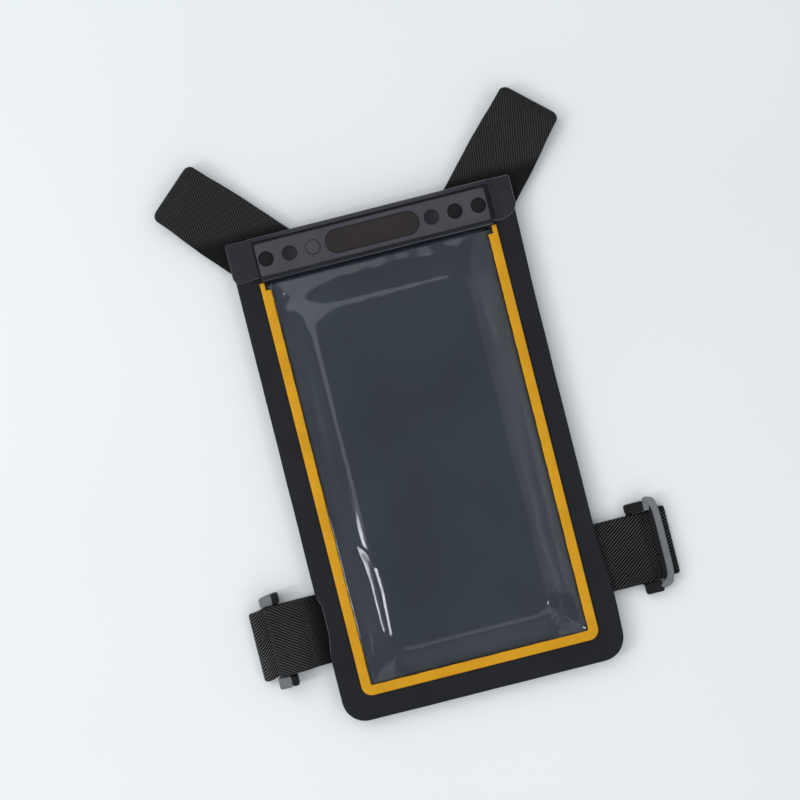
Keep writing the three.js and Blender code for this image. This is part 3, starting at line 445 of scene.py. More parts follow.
def right_pull(y):
    """How far the right edge is drawn in: a little in above the strap, a little out beside its foot."""
    up = eased((y - SIDE_Y + WEBBING_WIDTH / 2) / WEBBING_WIDTH)
    fade = eased((y - BAG_BOTTOM) / STRAP_PULL_BELOW) * eased((BAG_TOP - y) / STRAP_PULL_ABOVE)
    return mix(-STRAP_PULL, STRAP_PULL, up) * fade


def pulled(line):
    """The bag's outline with its side edges drawn in, and a little uneven."""
    moved = []
    for p in line:
        shift = 0.0
        if p.x < -HALF_WIDTH * 0.9:
            shift = edge_pull(p.y)
        elif p.x > HALF_WIDTH * 0.9:
            shift = -right_pull(p.y)
        waver = EDGE_WAVER * ripple(p.x, p.y, 24 * MM, 2.3)
        moved.append(Vector((p.x + shift + waver, p.y + waver)))
    return moved


def build_edge_fold():
    """The thin turned edge that shows where the left edge is drawn in, its pale colour a painted highlight.
    """
    half = WEBBING_WIDTH / 2 - 0.2 * MM
    line = pulled([Vector((-HALF_WIDTH, y)) for y in spread(SIDE_Y - half, SIDE_Y + half, MM)])
    z = border_high.z - 0.1 * MM
    loops = []
    for i, p in enumerate(line):
        x = p.x + EDGE_FOLD_RADIUS / 2
        taper = eased(i / 8) * eased((len(line) - 1 - i) / 3)
        radius = EDGE_FOLD_RADIUS * math.sqrt(taper + 0.01)
        loops.append([Vector((x + radius * math.cos(a), p.y, z + radius * math.sin(a)))
                      for a in circle_angles(12)])
    finish_piece(new_object("body_edge_fold", *loft(loops), EDGE_HIGHLIGHT), "body")


def build_border():
    """Border sheet round the window: softly uneven, its left edge drawn in and lifted beside the tab."""
    outer = pulled(u_line(HALF_WIDTH, BAG_BOTTOM, BAG_TOP, BAG_CORNER, 120))
    inner = u_line(WELD_INNER + WINDOW_LAP, WELD_BOTTOM + WELD_WIDTH - WINDOW_LAP, BAG_TOP, 0.5 * MM, 120)

    def wave(x, y, share):
        soft = 0.14 * MM * (1 + ripple(x, y, 22 * MM, 5.0)) * (1 - share)
        curl = EDGE_CURL * bell(share / 0.3) * eased(edge_pull(y) / MM) * (x < 0)
        return soft + curl

    loops = [strip_section(o, i, border_low.z, border_high.z, 0.45 * MM, 10, wave)
             for o, i in zip(outer, inner)]
    finish_piece(new_object("border_sheet", *loft(loops), BODY), "body", "front_frame")


def weld_section(outer, inner):
    def dome(x, y, share):
        return 0.1 * MM * math.sin(math.pi * min(share, 1)) + 0.04 * MM * ripple(x, y, 6 * MM, 1.0)

    return strip_section(outer, inner, weld_low.z, weld_high.z, 0.35 * MM, 4, dome)


def step_sections(outer_x, inner_x, edge_x, y, narrow_first):
    """Two sections a hair apart, where the weld band's end steps to its outer half."""
    above = y + 0.06 * MM
    narrow = weld_section(Vector((outer_x, above)), Vector((edge_x, above)))
    wide = weld_section(Vector((outer_x, y)), Vector((inner_x, y)))
    return [narrow, wide] if narrow_first else [wide, narrow]


def build_weld():
    """Weld band: slightly domed, its inner edge a little uneven, each end stepped to its outer half."""
    outer = u_line(WELD_OUTER, WELD_BOTTOM, WELD_TOP, WELD_CORNER, 170)
    inner = u_line(WELD_INNER, WELD_BOTTOM + WELD_WIDTH, WELD_TOP, WELD_INNER_CORNER, 170)
    step_y = WELD_TOP - WELD_STEP_LENGTH
    loops = []
    for k, (o, i) in enumerate(zip(outer, inner)):
        uneven = 0.16 * MM * ripple(i.x, i.y, 7 * MM, 8.0) + 0.1 * MM * ripple(i.x, i.y, 2.5 * MM, 3.0)
        toward = (o - i).normalized()
        edge = i + toward * uneven
        if o.y > step_y:
            edge = o - toward * WELD_STEP_WIDTH
            edge.y = o.y
        before, after = outer[max(k - 1, 0)].y, outer[min(k + 1, len(outer) - 1)].y
        if o.y > step_y and min(before, after) <= step_y:
            loops += step_sections(o.x, i.x, edge.x, step_y, after < o.y)
        else:
            loops.append(weld_section(o, edge))
    finish_piece(new_object("weld_tape_band", *loft(loops), WELD), "weld", "weld_band")


def sheet_grid(name, columns, height, thickness, material):
    """A closed sheet over columns of plan points; height(x, y) is its top."""
    rows = len(columns[0])
    flat = [p for column in columns for p in column]
    tops = [Vector((x, y, height(x, y))) for x, y in flat]
    unders = [Vector((p.x, p.y, p.z - thickness)) for p in tops]
    faces = []
    count = len(tops)
    for i in range(len(columns) - 1):
        for j in range(rows - 1):
            a, b = i * rows + j, (i + 1) * rows + j
            faces.append([a, b, b + 1, a + 1])
            faces.append([count + a, count + a + 1, count + b + 1, count + b])
    last = (len(columns) - 1) * rows
    outline = [i * rows for i in range(len(columns))] + [last + j for j in range(1, rows)]
    outline += [i * rows + rows - 1 for i in range(len(columns) - 2, -1, -1)] + list(range(rows - 2, 0, -1))
    for k, a in enumerate(outline):
        b = outline[(k + 1) % len(outline)]
        faces.append([b, a, count + a, count + b])
    return new_object(name, tops + unders, faces, material)


def build_back_panel():
    """The bag's plain rear wall, with the same drawn-in edges as the border."""
    corner_top = BAG_BOTTOM + BAG_CORNER

    def x_at(y, share):
        half = HALF_WIDTH - corner_inset(BAG_CORNER, corner_top - y) - 0.15 * MM
        return mix(edge_pull(y) - half, half - right_pull(y), share)

    ys = spread(BAG_BOTTOM, corner_top, 0.6 * MM) + spread(corner_top, BAG_TOP, 2 * MM)[1:]
    columns = [[(x_at(y, share), y) for y in ys] for share in spread(0, 1, 0.025)]
    obj = sheet_grid("back_panel_sheet", columns, lambda x, y: back_high.z, back_high.z - back_low.z, BODY)
    finish_piece(obj, "body", "back_panel")


def build_lining():
    """The pocket's dark lining on the back panel, seen through the film."""
    half = WELD_INNER + WINDOW_LAP - 0.1 * MM
    bottom = WELD_BOTTOM + WELD_WIDTH - WINDOW_LAP + 0.1 * MM
    columns = grid(spread(-half, half, 3 * MM), spread(bottom, film_high.y + 2 * MM, 3 * MM))

    def height(x, y):
        return back_high.z + 0.35 * MM + 0.12 * MM * ripple(x, y, 26 * MM, 4.0)

    finish_piece(sheet_grid("pocket_lining", columns, height, 0.2 * MM, LINING), "body")


# Window film: a plateau with a firm rounded edge, straight slopes, and folds that it keeps
PLATEAU_HALF = (35.4 * MM, 74.6 * MM)
PLATEAU_CORNER = 9 * MM
PLATEAU_MIDDLE_Y = BAG_BOTTOM + 102.2 * MM
FILM_SOFTNESS = 1.5 * MM
FILM_LIFT = 8.3 * MM
MOUTH_GAP = 1.1 * MM
# Where the film's mesh is finer. From here on, x is from the middle and y from the bag's bottom, in mm
FINE_X = (-41.5, -31)
FINE_Y = (14, 78)
# The hook-shaped crease at the lower right, as x and y
HOOK = [(37.3, 19.6), (40.3, 18.9), (41.7, 17.6), (40.4, 15.4)]
HOOK_HALF_WIDTH = 0.9
HOOK_RISE = 0.35 * MM
# The two sides of the almond-shaped dent at the lower left, as y and x
DENT_LEFT = [(26.6, -35.9), (29.4, -36.7), (43.6, -36.9), (57.8, -36.8), (70.5, -38.8), (75, -39.3)]
DENT_RIGHT = [(26.6, -35.9), (28.9, -34.8), (36.8, -33.6), (52.7, -32.6), (64, -33), (71.6, -34.9),
              (75, -39.3)]
DENT_DEPTH = 0.44 * MM
DENT_LIP = 0.33
DENT_FULL_WIDTH = 3.5
DENT_DEEPEST = 1.2
FILM_FOLDS = [
    # x, y from the bag's bottom, half length, half width, lean in degrees, rise
    (39.5, 19.5, 6, 4.5, 50, -0.6),
    (-43.5, 28, 10, 2.6, -12, 0.35),
    (-44.5, 30, 12, 1.8, -4, -0.35),
    (-42.8, 22, 3.5, 1.6, 20, 0.3),
    (40, 70, 46, 3, 1.5, -0.25),
    (43.6, 88, 52, 2.4, -1, 0.28),
    (39.2, 58, 16, 1.8, 2.5, -0.28),
    (42.8, 44, 12, 1.5, -3, 0.22),
    (-42.5, 128, 38, 3.4, -1.5, -0.25),
    (38.5, 152, 20, 3, 4, 0.25),
    (37, 26, 11, 2.2, -28, 0.35),
    (41, 36, 14, 2.2, -10, -0.25),
    (-12, 184, 2.2, 18, 5, 0.2),
    (22, 186, 2, 15, -6, -0.2),
]


def fold_height(x, y):
    total = 0.0
    for fold_x, fold_y, half_length, half_width, lean, rise in FILM_FOLDS:
        dx, dy = x - fold_x * MM, y - BAG_BOTTOM - fold_y * MM
        angle = math.radians(lean)
        across = dx * math.cos(angle) + dy * math.sin(angle)
        along = dy * math.cos(angle) - dx * math.sin(angle)
        distance = math.hypot(across / (half_width * MM), along / (half_length * MM))
        total += rise * MM * (1 - eased(distance))
    return total


def hook_height(x, y):
    """Rise of the hook, a soft ridge along its line."""
    here = Vector((x / MM, (y - BAG_BOTTOM) / MM))
    nearest = HOOK_HALF_WIDTH
    for a, b in zip(HOOK, HOOK[1:]):
        start, run = Vector(a), Vector(b) - Vector(a)
        share = min(max((here - start).dot(run) / run.length_squared, 0), 1)
        nearest = min(nearest, (here - start - run * share).length)
    return HOOK_RISE * (1 - eased(nearest / HOOK_HALF_WIDTH))


def x_on(line, y):
    """The x of a line of y and x pairs, where it reaches y."""
    for (y0, x0), (y1, x1) in zip(line, line[1:]):
        if y <= y1:
            return mix(x0, x1, (y - y0) / (y1 - y0))
    return line[-1][1]


def dent_depth(x, y):
    """Depth of the dent: steep along its right side, easing out to its left one, less where it is narrow."""
    y = (y - BAG_BOTTOM) / MM
    if not DENT_LEFT[0][0] < y < DENT_LEFT[-1][0]:
        return 0.0
    left, right = x_on(DENT_LEFT, y), x_on(DENT_RIGHT, y)
    share = (x / MM - left) / (right - left)
    profile = max(min(share / (1 - DENT_LIP), (1 - share) / DENT_LIP), 0.0)
    return DENT_DEPTH * profile * min((right - left) / DENT_FULL_WIDTH, DENT_DEEPEST)


def plateau_distance(x, y):
    """Distance outside the plateau's rounded outline, negative inside it."""
    px = abs(x) - PLATEAU_HALF[0] + PLATEAU_CORNER
    py = abs(y - PLATEAU_MIDDLE_Y) - PLATEAU_HALF[1] + PLATEAU_CORNER
    outside = math.hypot(max(px, 0.0), max(py, 0.0))
    return outside + min(max(px, py), 0.0) - PLATEAU_CORNER


def film_top(x, y):
    """Height of the film's top: a plateau, slopes down to the weld, and the header's level at the mouth."""
    down = plateau_distance(x, y)
    from_side = WELD_INNER - abs(x)
    from_bottom = y - WELD_BOTTOM - WELD_WIDTH
    from_top = film_high.y - y
    to_weld = max(min(from_side, from_bottom, from_top), 0.0)
    soft_down = 0.5 * (down + math.sqrt(down * down + FILM_SOFTNESS ** 2))
    share = soft_down / (soft_down + to_weld + 1e-9)
    slope = mix(share, eased(share), 0.15)
    header_level = (header_high.z - 0.9 * MM - FILM_EDGE_Z) * eased(1 - from_top / (12 * MM))
    level = header_level * eased(from_side / (6 * MM))
    near_edge = eased(min(from_side, from_bottom, from_top + 2 * MM) / (4 * MM))
    slack = 0.22 * MM * ripple(x, y * 0.35, 9 * MM, 6.0) * bell(share / 1.2 - 0.4)
    slack += 0.1 * MM * ripple(x, y, 30 * MM, 9.0)
    detail = fold_height(x, y) + hook_height(x, y) - dent_depth(x, y) + slack
    return FILM_EDGE_Z + mix(FILM_LIFT, level, slope) + near_edge * detail


def build_film():
    half = WELD_OUTER - 2 * MM
    bottom = WELD_BOTTOM + 2 * MM
    top = film_high.y - MOUTH_GAP
    xs = graded(-half, half, [x * MM for x in FINE_X], (0.8 * MM, 0.3 * MM, 0.8 * MM))
    ys = graded(bottom, top, [BAG_BOTTOM + y * MM for y in FINE_Y], (MM, 0.55 * MM, 1.2 * MM))
    film = sheet_grid("film_window", grid(xs, ys), film_top, FILM_THICKNESS, FILM)
    finish_piece(film, "film", "window_film")


# Header sheet
HEM_INNER = bar_high.x + 0.5 * MM
HEM_OUTER = HEM_INNER + 1.6 * MM
HEM_RISE = 0.9 * MM
RIGHT_GAP = 1.5 * MM
GROOVE_DEPTH = 0.9 * MM
HEM_Y = bar_high.y + MM
WING_START = HEM_OUTER + 3.4 * MM
WING_Z = border_high.z + HEADER_THICKNESS
HEADER_BOTTOM = header_high.y - 17.6 * MM
LEFT_LOW_CORNER = 3.2 * MM
RIGHT_LOW_CORNER = 6.0 * MM
TOP_CORNER = 1.2 * MM
# Width and strength of the painted highlight along the header's edge, fainter at its left, and its hint above
# the bar
RIM_HIGHLIGHT_WIDTH = 0.5 * MM
RIM_HIGHLIGHT_LEFT_SHARE = 0.5
RIM_HIGHLIGHT_ABOVE_BAR = 0.22
SAG_X = 54.5 * MM
SAG_DEPTH = 0.9 * MM
SAG_HALF_WIDTH = 5 * MM


def header_bottom(x):
    """The wings' rounded, wavy lower edge, and between them the edge of the lip under the bar."""
    corner = LEFT_LOW_CORNER if x < 0 else RIGHT_LOW_CORNER
    from_end = header_high.x - abs(x)
    wavy = 0.35 * MM * ripple(x, 0, 11 * MM, 7.0) - SAG_DEPTH * bell((x - SAG_X) / SAG_HALF_WIDTH)
    wing = HEADER_BOTTOM + corner_inset(corner, corner - from_end) + wavy * eased(from_end / (2 * MM))
    lip = header_low.y + 0.15 * MM * ripple(x, 0, 20 * MM, 1.5)
    return mix(lip, wing, eased((abs(x) - HEM_INNER) / (0.35 * MM)))


def header_top(x):
    past = TOP_CORNER - header_high.x + abs(x)
    return header_high.y - corner_inset(TOP_CORNER, past) - 0.125 * MM * (1 + ripple(x, 0, 30 * MM, 2.0))


def header_edge(x, y):
    """Distance to the nearest edge of the header sheet."""
    return min(header_high.x - abs(x), header_top(x) - y, y - header_bottom(x))


def header_height(x, y):
    """Flat under the bar, a raised hem above and beside it, a groove at its right, and lower wings."""
    drop = eased((abs(x) - HEM_OUTER) / (WING_START - HEM_OUTER))
    z = mix(bar_low.z, WING_Z, drop)
    above = eased((y - HEM_Y) / (0.15 * MM))
    beside = eased((abs(x) - HEM_INNER - RIGHT_GAP * (x > 0)) / (0.15 * MM))
    outer_end = 1 - eased((abs(x) - HEM_OUTER + 0.3 * MM) / (0.9 * MM))
    z += HEM_RISE * max(above, beside) * outer_end
    into_groove = eased((x - HEM_INNER + 0.5 * MM) / (0.4 * MM))
    out_of_groove = eased((HEM_INNER + RIGHT_GAP - x) / (0.3 * MM))
    z -= GROOVE_DEPTH * into_groove * out_of_groove * eased((HEM_Y - y) / (0.3 * MM))
    z -= 0.45 * MM * (1 - eased(header_edge(x, y) / (0.8 * MM)))
    return z + drop * 0.18 * MM * (1 + ripple(x, y, 9 * MM, 3.0))


def header_rim_highlight(x, y):
    """Share of the rim's painted highlight: along the cut edge, fainter at the left, and a hint above the
    bar.
    """
    line = 1 - eased(header_edge(x, y) / RIM_HIGHLIGHT_WIDTH)
    above_bar = eased((y - HEM_Y) / RIM_HIGHLIGHT_WIDTH) * (1 - eased(2 * abs(x) / HEM_INNER - 1))
    from_left = mix(RIM_HIGHLIGHT_LEFT_SHARE, 1.0, eased(x / header_high.x + 0.5))
    return max(line * from_left, RIM_HIGHLIGHT_ABOVE_BAR * above_bar)


def build_header():
    half_lines = [0, *spread(2 * MM, HEM_INNER - 0.6 * MM, 2 * MM), HEM_INNER - 0.2 * MM]
    half_lines += [HEM_INNER + i * 0.05 * MM for i in range(8)]
    half_lines += spread(HEM_INNER + 0.5 * MM, WING_START, 0.3 * MM)
    half_lines += spread(WING_START + 0.5 * MM, header_high.x - 1.2 * MM, 0.5 * MM)
    half_lines += [header_high.x - d * MM for d in (0.9, 0.6, 0.4, 0.25, 0.12, 0.05, 0.0)]
    xs = [-x for x in reversed(half_lines[1:])] + half_lines
    columns = []
    for x in xs:
        low, high = header_bottom(x), header_top(x)
        ys = [low + d * MM for d in (0.0, 0.08, 0.2, 0.35, 0.5)]
        ys += spread(low + 0.8 * MM, HEM_Y - 0.3 * MM, 0.9 * MM)
        ys += [HEM_Y + i * 0.04 * MM for i in range(6)]
        ys += spread(HEM_Y + 0.4 * MM, high - 0.6 * MM, 0.4 * MM)
        ys += [high - d * MM for d in (0.4, 0.25, 0.12, 0.04, 0.0)]
        columns.append([(x, y) for y in ys])
    columns = [evened(column, max(map(len, columns))) for column in columns]
    obj = sheet_grid("header_flap", columns, header_height, HEADER_THICKNESS, HEADER)
    # Painted highlight: the share of the pale rim colour at each point of the header
    rim_highlight = obj.data.attributes.new(RIM_HIGHLIGHT, "FLOAT", "POINT")
    for vertex, share in zip(obj.data.vertices, rim_highlight.data):
        share.value = header_rim_highlight(vertex.co.x, vertex.co.y)
    finish_piece(obj, "header", "header_sheet")


def evened(column, count):
    """The same column with points added in its plain stretch, so that all columns have equal counts."""
    while len(column) < count:
        column.insert(6, (column[5][0], (column[5][1] + column[6][1]) / 2))
    return column


# Magnets of the front bar as they show: flat dark discs, dimples darkened with painted shade, and one flush
# disc
DISC_LOOKS = ("flat", "dimple", "flush", "dimple", "flat", "flat")
DISC_MATERIALS = {"flat": MAGNET, "dimple": DIMPLE_PAINTED_SHADE, "flush": BAR}
DISC_LAP = 0.2 * MM
BOWL_DEPTH = 0.75 * MM


def disc_profile(look, low, high):
    """Pairs of a share of the radius and a height, from the foot of the disc's side to its middle."""
    if look == "flat":
        return [(1, low), (1, high - 0.1 * MM), (0.96, high), (0.5, high), (0.02, high)]
    if look == "flush":
        top = high + 0.25 * MM
        return [(1, low), (1, high - 0.3 * MM), (0.94, top - 0.1 * MM), (0.88, top), (0.5, top), (0.02, top)]
    shares = (0.93, 0.84, 0.72, 0.58, 0.42, 0.25, 0.02)
    return [(1, low), (1, high), *((share, high - BOWL_DEPTH * (1 - share * share)) for share in shares)]


def build_discs():
    for i, look in enumerate(DISC_LOOKS):
        node = f"magnet_front_{i + 1}"
        low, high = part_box(node)
        middle = (low + high) / 2
        radius = (high.x - low.x) / 2 + DISC_LAP * (look != "flat")
        loops = []
        for share, z in disc_profile(look, low.z, high.z):
            r = share * radius
            loops.append([Vector((middle.x + r * math.cos(a), middle.y + r * math.sin(a), z))
                          for a in circle_angles(36)])
        obj = new_object(f"bar_disc_{i + 1}", *loft(loops), DISC_MATERIALS[look])
        bevel(obj, 0.05 * MM, 1)
        finish_piece(obj, "magnet", node)


# Sliders
SLIDER_PLAY = 0.6 * MM
LEFT_DARK_WIDTH = 2.7 * MM
LEFT_SLANT = 1.1 * MM
LEFT_BAR_HEIGHT = 2.0 * MM
# Where the pieces of each slider lie across it, in mm from its end of lowest X
LEFT_BARS = (3.0, 7.4)
RIGHT_LOWER_END = (0.9, 8.9)
RIGHT_UPPER_END = (0.1, 8.9)
RIGHT_INNER_BAR = (0.4, 3.2)
RIGHT_RAIL = (9.8, 11.7)
RIGHT_CHEEK = (8.4, 10.6)
BOWED_MIDDLE = 10.9
BOWED_RISE = 2.3
BOWED_HALF = 1.45
BOWED_END_HALF = 2.2


def block(x, y, z):
    """A box between pairs of X, Y and Z."""
    verts = [Vector((x[i], y[j], z[k])) for k in (0, 1) for i, j in ((0, 0), (1, 0), (1, 1), (0, 1))]
    faces = [[3, 2, 1, 0], [4, 5, 6, 7], [0, 1, 5, 4], [1, 2, 6, 5], [2, 3, 7, 6], [3, 0, 4, 7]]
    return verts, faces


def slider_span(low, high):
    """Y of a slider's foot, of its opening's lower and upper end, and of its head."""
    inside = WEBBING_WIDTH / 2 + SLIDER_PLAY
    outside = (high.y - low.y) / 2
    return SIDE_Y - outside, SIDE_Y - inside, SIDE_Y + inside, SIDE_Y + outside


def across(low, places):
    return [low.x + place * MM for place in places]


def build_left_slider():
    """Grey blocks with a dark inner part, and two bars one above the other."""
    low, high = slider_left_low, slider_left_high
    foot, lower, upper, head = slider_span(low, high)
    split = high.x - LEFT_DARK_WIDTH
    build = Build()
    for end, opening in ((foot, lower), (head, upper)):
        verts, faces = block((low.x, split), sorted((end, opening)), (low.z, high.z))
        for v in verts:
            v.y -= LEFT_SLANT * (v.y > upper + MM and v.x < split - MM)
        build.add(verts, faces, SLIDER_GREY)
        inward = math.copysign(0.1 * MM, opening - end)
        dark_y = sorted((end + inward, opening - 2 * inward))
        build.add(*block((split, high.x), dark_y, (low.z + 0.3 * MM, high.z - 0.3 * MM)), SLIDER_DARK)
    for z in (low.z, high.z - LEFT_BAR_HEIGHT):
        build.add(*block(across(low, LEFT_BARS), (lower, upper), (z, z + LEFT_BAR_HEIGHT)), SLIDER_DARK)
    obj = build.finish("slider_left_moulding", False)
    bevel(obj, 0.75 * MM, 3)
    finish_piece(obj, "slider", "slider_left")


def bowed_bar(foot, tip, low_z, high_z):
    """The bar over the strap: bowed outward, with broader, swept and rounded ends."""
    loops = []
    for i in range(61):
        share = i / 60 * 2 - 1
        at_end = eased((abs(share) - 0.74) / 0.24)
        sweep = (1.5 if share < 0 else 0.7) * at_end
        round_end = math.sqrt(max(1 - max(abs(share) - 0.9, 0) ** 2 / 0.01, 0.02))
        middle = slider_right_low.x + (BOWED_MIDDLE + BOWED_RISE * (1 - abs(share) ** 6) - sweep) * MM
        half = mix(BOWED_HALF, BOWED_END_HALF + 0.5 * sweep, at_end) * MM * round_end
        side = 0.5 * MM * round_end
        top = high_z + 0.4 * MM * round_end
        section = ((-half, low_z), (half, low_z), (half, top - side), (half - side, top),
                   (side - half, top), (-half, top - side))
        loops.append([Vector((middle + x, mix(foot, tip, i / 60), z)) for x, z in section])
    return loft(loops)


def build_right_slider():
    """Rounded dark end blocks, a dark inner bar and rail, and a broad bowed grey bar over the strap."""
    low, high = slider_right_low, slider_right_high
    foot, lower, upper, head = slider_span(low, high)
    ends_z = (low.z, high.z - 0.4 * MM)
    inner_bar_z = (low.z, low.z + WEBBING_DEPTH)
    rail_z = (LAYER_3 - WEBBING_DEPTH / 2, high.z - 0.7 * MM)
    build = Build()
    build.add(*block(across(low, RIGHT_LOWER_END), (foot + 0.9 * MM, lower + 0.4 * MM), ends_z), SLIDER_DARK)
    build.add(*block(across(low, RIGHT_UPPER_END), (upper, head - MM), ends_z), SLIDER_DARK)
    obj = build.finish("slider_right_ends", False)
    bevel(obj, 1.1 * MM, 4)
    finish_piece(obj, "slider", "slider_right")
    build = Build()
    build.add(*block(across(low, RIGHT_INNER_BAR), (lower, upper), inner_bar_z), SLIDER_DARK)
    build.add(*block(across(low, RIGHT_RAIL), (lower - MM, upper + MM), rail_z), SLIDER_DARK)
    for cheek_y in ((foot + 2.6 * MM, lower + 0.2 * MM), (upper, head - 1.2 * MM)):
        build.add(*block(across(low, RIGHT_CHEEK), cheek_y, (low.z, high.z - 0.5 * MM)), SLIDER_GREY)
    build.add(*bowed_bar(foot + 2.4 * MM, head + 0.4 * MM, rail_z[0], high.z), SLIDER_GREY)
    obj = build.finish("slider_right_moulding", False)
    bevel(obj, 0.35 * MM, 3)
    finish_piece(obj, "slider", "slider_right")


# Webbing along a path of rows. Its section's upper side, in half widths and half thicknesses
ROW_STEP = 1.5 * MM
SECTION = [(-1, 0), (-0.985, 0.55), (-0.955, 0.9), (-0.9, 1), (-0.6, 1), (-0.3, 1), (0, 1),
           (0.3, 1), (0.6, 1), (0.9, 1), (0.955, 0.9), (0.985, 0.55)]


def ribbon(name, rows, looks):
    """Webbing with soft edges. Each row is a middle point, a unit direction across and a width.

    looks gives the run at which each material starts.
    """
    half = WEBBING_DEPTH / 2
    profile = SECTION + [(-a, -b) for a, b in SECTION]
    count = len(profile)
    loops, strip, runs = [], [], []
    run = 0.0
    for i, (point, across, width) in enumerate(rows):
        before = rows[max(i - 1, 0)][0]
        after = rows[min(i + 1, len(rows) - 1)][0]
        normal = (after - before).normalized().cross(across).normalized()
        if i:
            run += (point - rows[i - 1][0]).length
        runs.append(run)
        waver = 1 + 0.006 * ripple(run, 0, 6 * MM, len(rows))
        loops.append([point + across * (a * width * waver / 2) + normal * (b * half) for a, b in profile])
        strip += [(run, a * width / 2) for a, b in profile]
    verts, faces = loft(loops)
    obj = new_object(name, verts, faces, looks[0][1])
    for _, material in looks[1:]:
        obj.data.materials.append(material)
    for polygon in obj.data.polygons:
        row = min(v // count for v in polygon.vertices)
        polygon.material_index = max(k for k, (start, _) in enumerate(looks) if runs[row] >= start)
    layer = obj.data.uv_layers.new(name="strip")
    for loop in obj.data.loops:
        layer.data[loop.index].uv = strip[loop.vertex_index]
    return obj


class SidePath:
    """A path in the X-Z plane, drawn as in the frame and given as even rows of webbing."""

    def __init__(self, x, z):
        self.points = [Vector((x, z))]

    def line(self, x, z):
        start, end = self.points[-1], Vector((x, z))
        steps = max(1, round((end - start).length / ROW_STEP))
        self.points += [start.lerp(end, i / steps) for i in range(1, steps + 1)]

    def ease(self, x, z):
        """A soft S, level at both ends."""
        start = self.points[-1]
        for i in range(1, 17):
            t = i / 16
            share = t ** 3 + 1.5 * t * (1 - t)
            self.points.append(Vector((mix(start.x, x, share), mix(start.y, z, eased(t)))))

    def turn(self, radius, centre_z, start, end):
        """An arc from where the path is, round a centre straight above or below it."""
        centre = Vector((self.points[-1].x, centre_z))
        for i in range(1, 17):
            angle = math.radians(start + (end - start) * i / 16)
            self.points.append(centre + Vector((math.cos(angle), math.sin(angle))) * radius)

    def length(self):
        return sum((b - a).length for a, b in zip(self.points, self.points[1:]))

    def rows(self):
        return [(Vector((p.x, SIDE_Y, p.y)), Vector((0, 1, 0)), WEBBING_WIDTH) for p in self.points]


# Middles of the layers of webbing, upward from the floor and then at the left slider
LAYER_1, LAYER_2, LAYER_3 = (WEBBING_DEPTH / 2 + i * (WEBBING_DEPTH + LAYER_GAP) for i in range(3))
LEFT_BAND_Z = band_high.z - WEBBING_DEPTH / 2
LEFT_TAB_LOW = LEFT_BAND_Z + WEBBING_DEPTH + LAYER_GAP
LEFT_TAB_HIGH = tab_high.z - WEBBING_DEPTH / 2
ANCHOR = 14 * MM
BAND_DIP_START = slider_right_low.x + 3.8 * MM
BAND_DIP_END = slider_right_low.x + 8.2 * MM
BAND_LOOP_OUT = 0.8 * MM
BAND_LEFT_DROP = 1.1 * MM
BAND_RIGHT_RISE = 0.7 * MM


def build_chest_band():
    """From behind the right edge through the right slider, behind the bag and through the left slider."""
    radius = (LAYER_2 - LAYER_1) / 2
    left_radius = (LEFT_BAND_Z - LAYER_1) / 2
    path = SidePath(HALF_WIDTH - ANCHOR, LAYER_3)
    path.line(BAND_DIP_START, LAYER_3)
    path.ease(BAND_DIP_END, LAYER_2)
    path.line(band_high.x + BAND_LOOP_OUT - WEBBING_DEPTH / 2 - radius, LAYER_2)
    path.turn(radius, (LAYER_1 + LAYER_2) / 2, 90, -90)
    path.line(0, LAYER_1)
    half_way = path.length()
    path.line(band_low.x + WEBBING_DEPTH / 2 + left_radius, LAYER_1)
    path.turn(left_radius, (LAYER_1 + LEFT_BAND_Z) / 2, 270, 90)
    path.line(slider_left_high.x + MM, LEFT_BAND_Z)
    rows = path.rows()
    for point, _, _ in rows:
        point.y -= BAND_LEFT_DROP * eased((slider_left_low.x + MM - point.x) / (4 * MM))
        point.y += BAND_RIGHT_RISE * eased((point.x - slider_right_high.x + 5 * MM) / (5 * MM))
    obj = ribbon("chest_band_webbing", rows, [(0.0, BAND_RIGHT), (half_way, BAND_LEFT)])
    finish_piece(obj, "webbing", "chest_band")


def build_left_tab():
    """Sewn behind the left edge, over the slider, round its upper bar and back to the edge."""
    edge = -HALF_WIDTH - 0.8 * MM
    radius = (LEFT_TAB_HIGH - LEFT_TAB_LOW) / 2
    path = SidePath(-HALF_WIDTH + ANCHOR, LAYER_3)
    path.line(edge, LAYER_3)
    path.ease(slider_left_high.x + 1.2 * MM, LEFT_TAB_HIGH)
    path.line(tab_low.x + WEBBING_DEPTH / 2 + radius, LEFT_TAB_HIGH)
    path.turn(radius, (LEFT_TAB_HIGH + LEFT_TAB_LOW) / 2, 90, 270)
    path.line(slider_left_high.x + 3.4 * MM, LEFT_TAB_LOW)
    path.ease(edge - 0.4 * MM, LAYER_3 - WEBBING_DEPTH - LAYER_GAP)
    finish_piece(ribbon("side_tab_webbing", path.rows(), [(0.0, TAB)]), "webbing", "side_tab_left")


# Shoulder straps: the same values as the frame's
SHOULDER_ANGLE = math.radians(47.8)
SHOULDER_ROOT_X = HALF_WIDTH - 13.2 * MM
SHOULDER_BELOW_TOP = 5.8 * MM
SHOULDER_ROOT_Y = header_high.y - SHOULDER_BELOW_TOP
SHOULDER_REACH = 46.8 * MM
SHOULDER_ANCHOR = 21 * MM
SHOULDER_FLAT_ROOT = 10 * MM
FOLD_RADIUS = 3.0 * MM
FOLD_CORNER = 2.9 * MM
FOLD_WIDTH = 28 * MM
BEND_AT = 85 * MM
BEND_HALF = 35 * MM
LOWER_ANGLE = math.radians(68)
END_Y = SIDE_Y - 8.7 * MM
RAMP = 15 * MM


def fold_width(reach):
    """The strap's width where its fold reaches this far out, so that its corners show rounded."""
    past = reach - (FOLD_RADIUS + WEBBING_DEPTH / 2 - FOLD_CORNER)
    return FOLD_WIDTH - 2 * corner_inset(FOLD_CORNER, past)


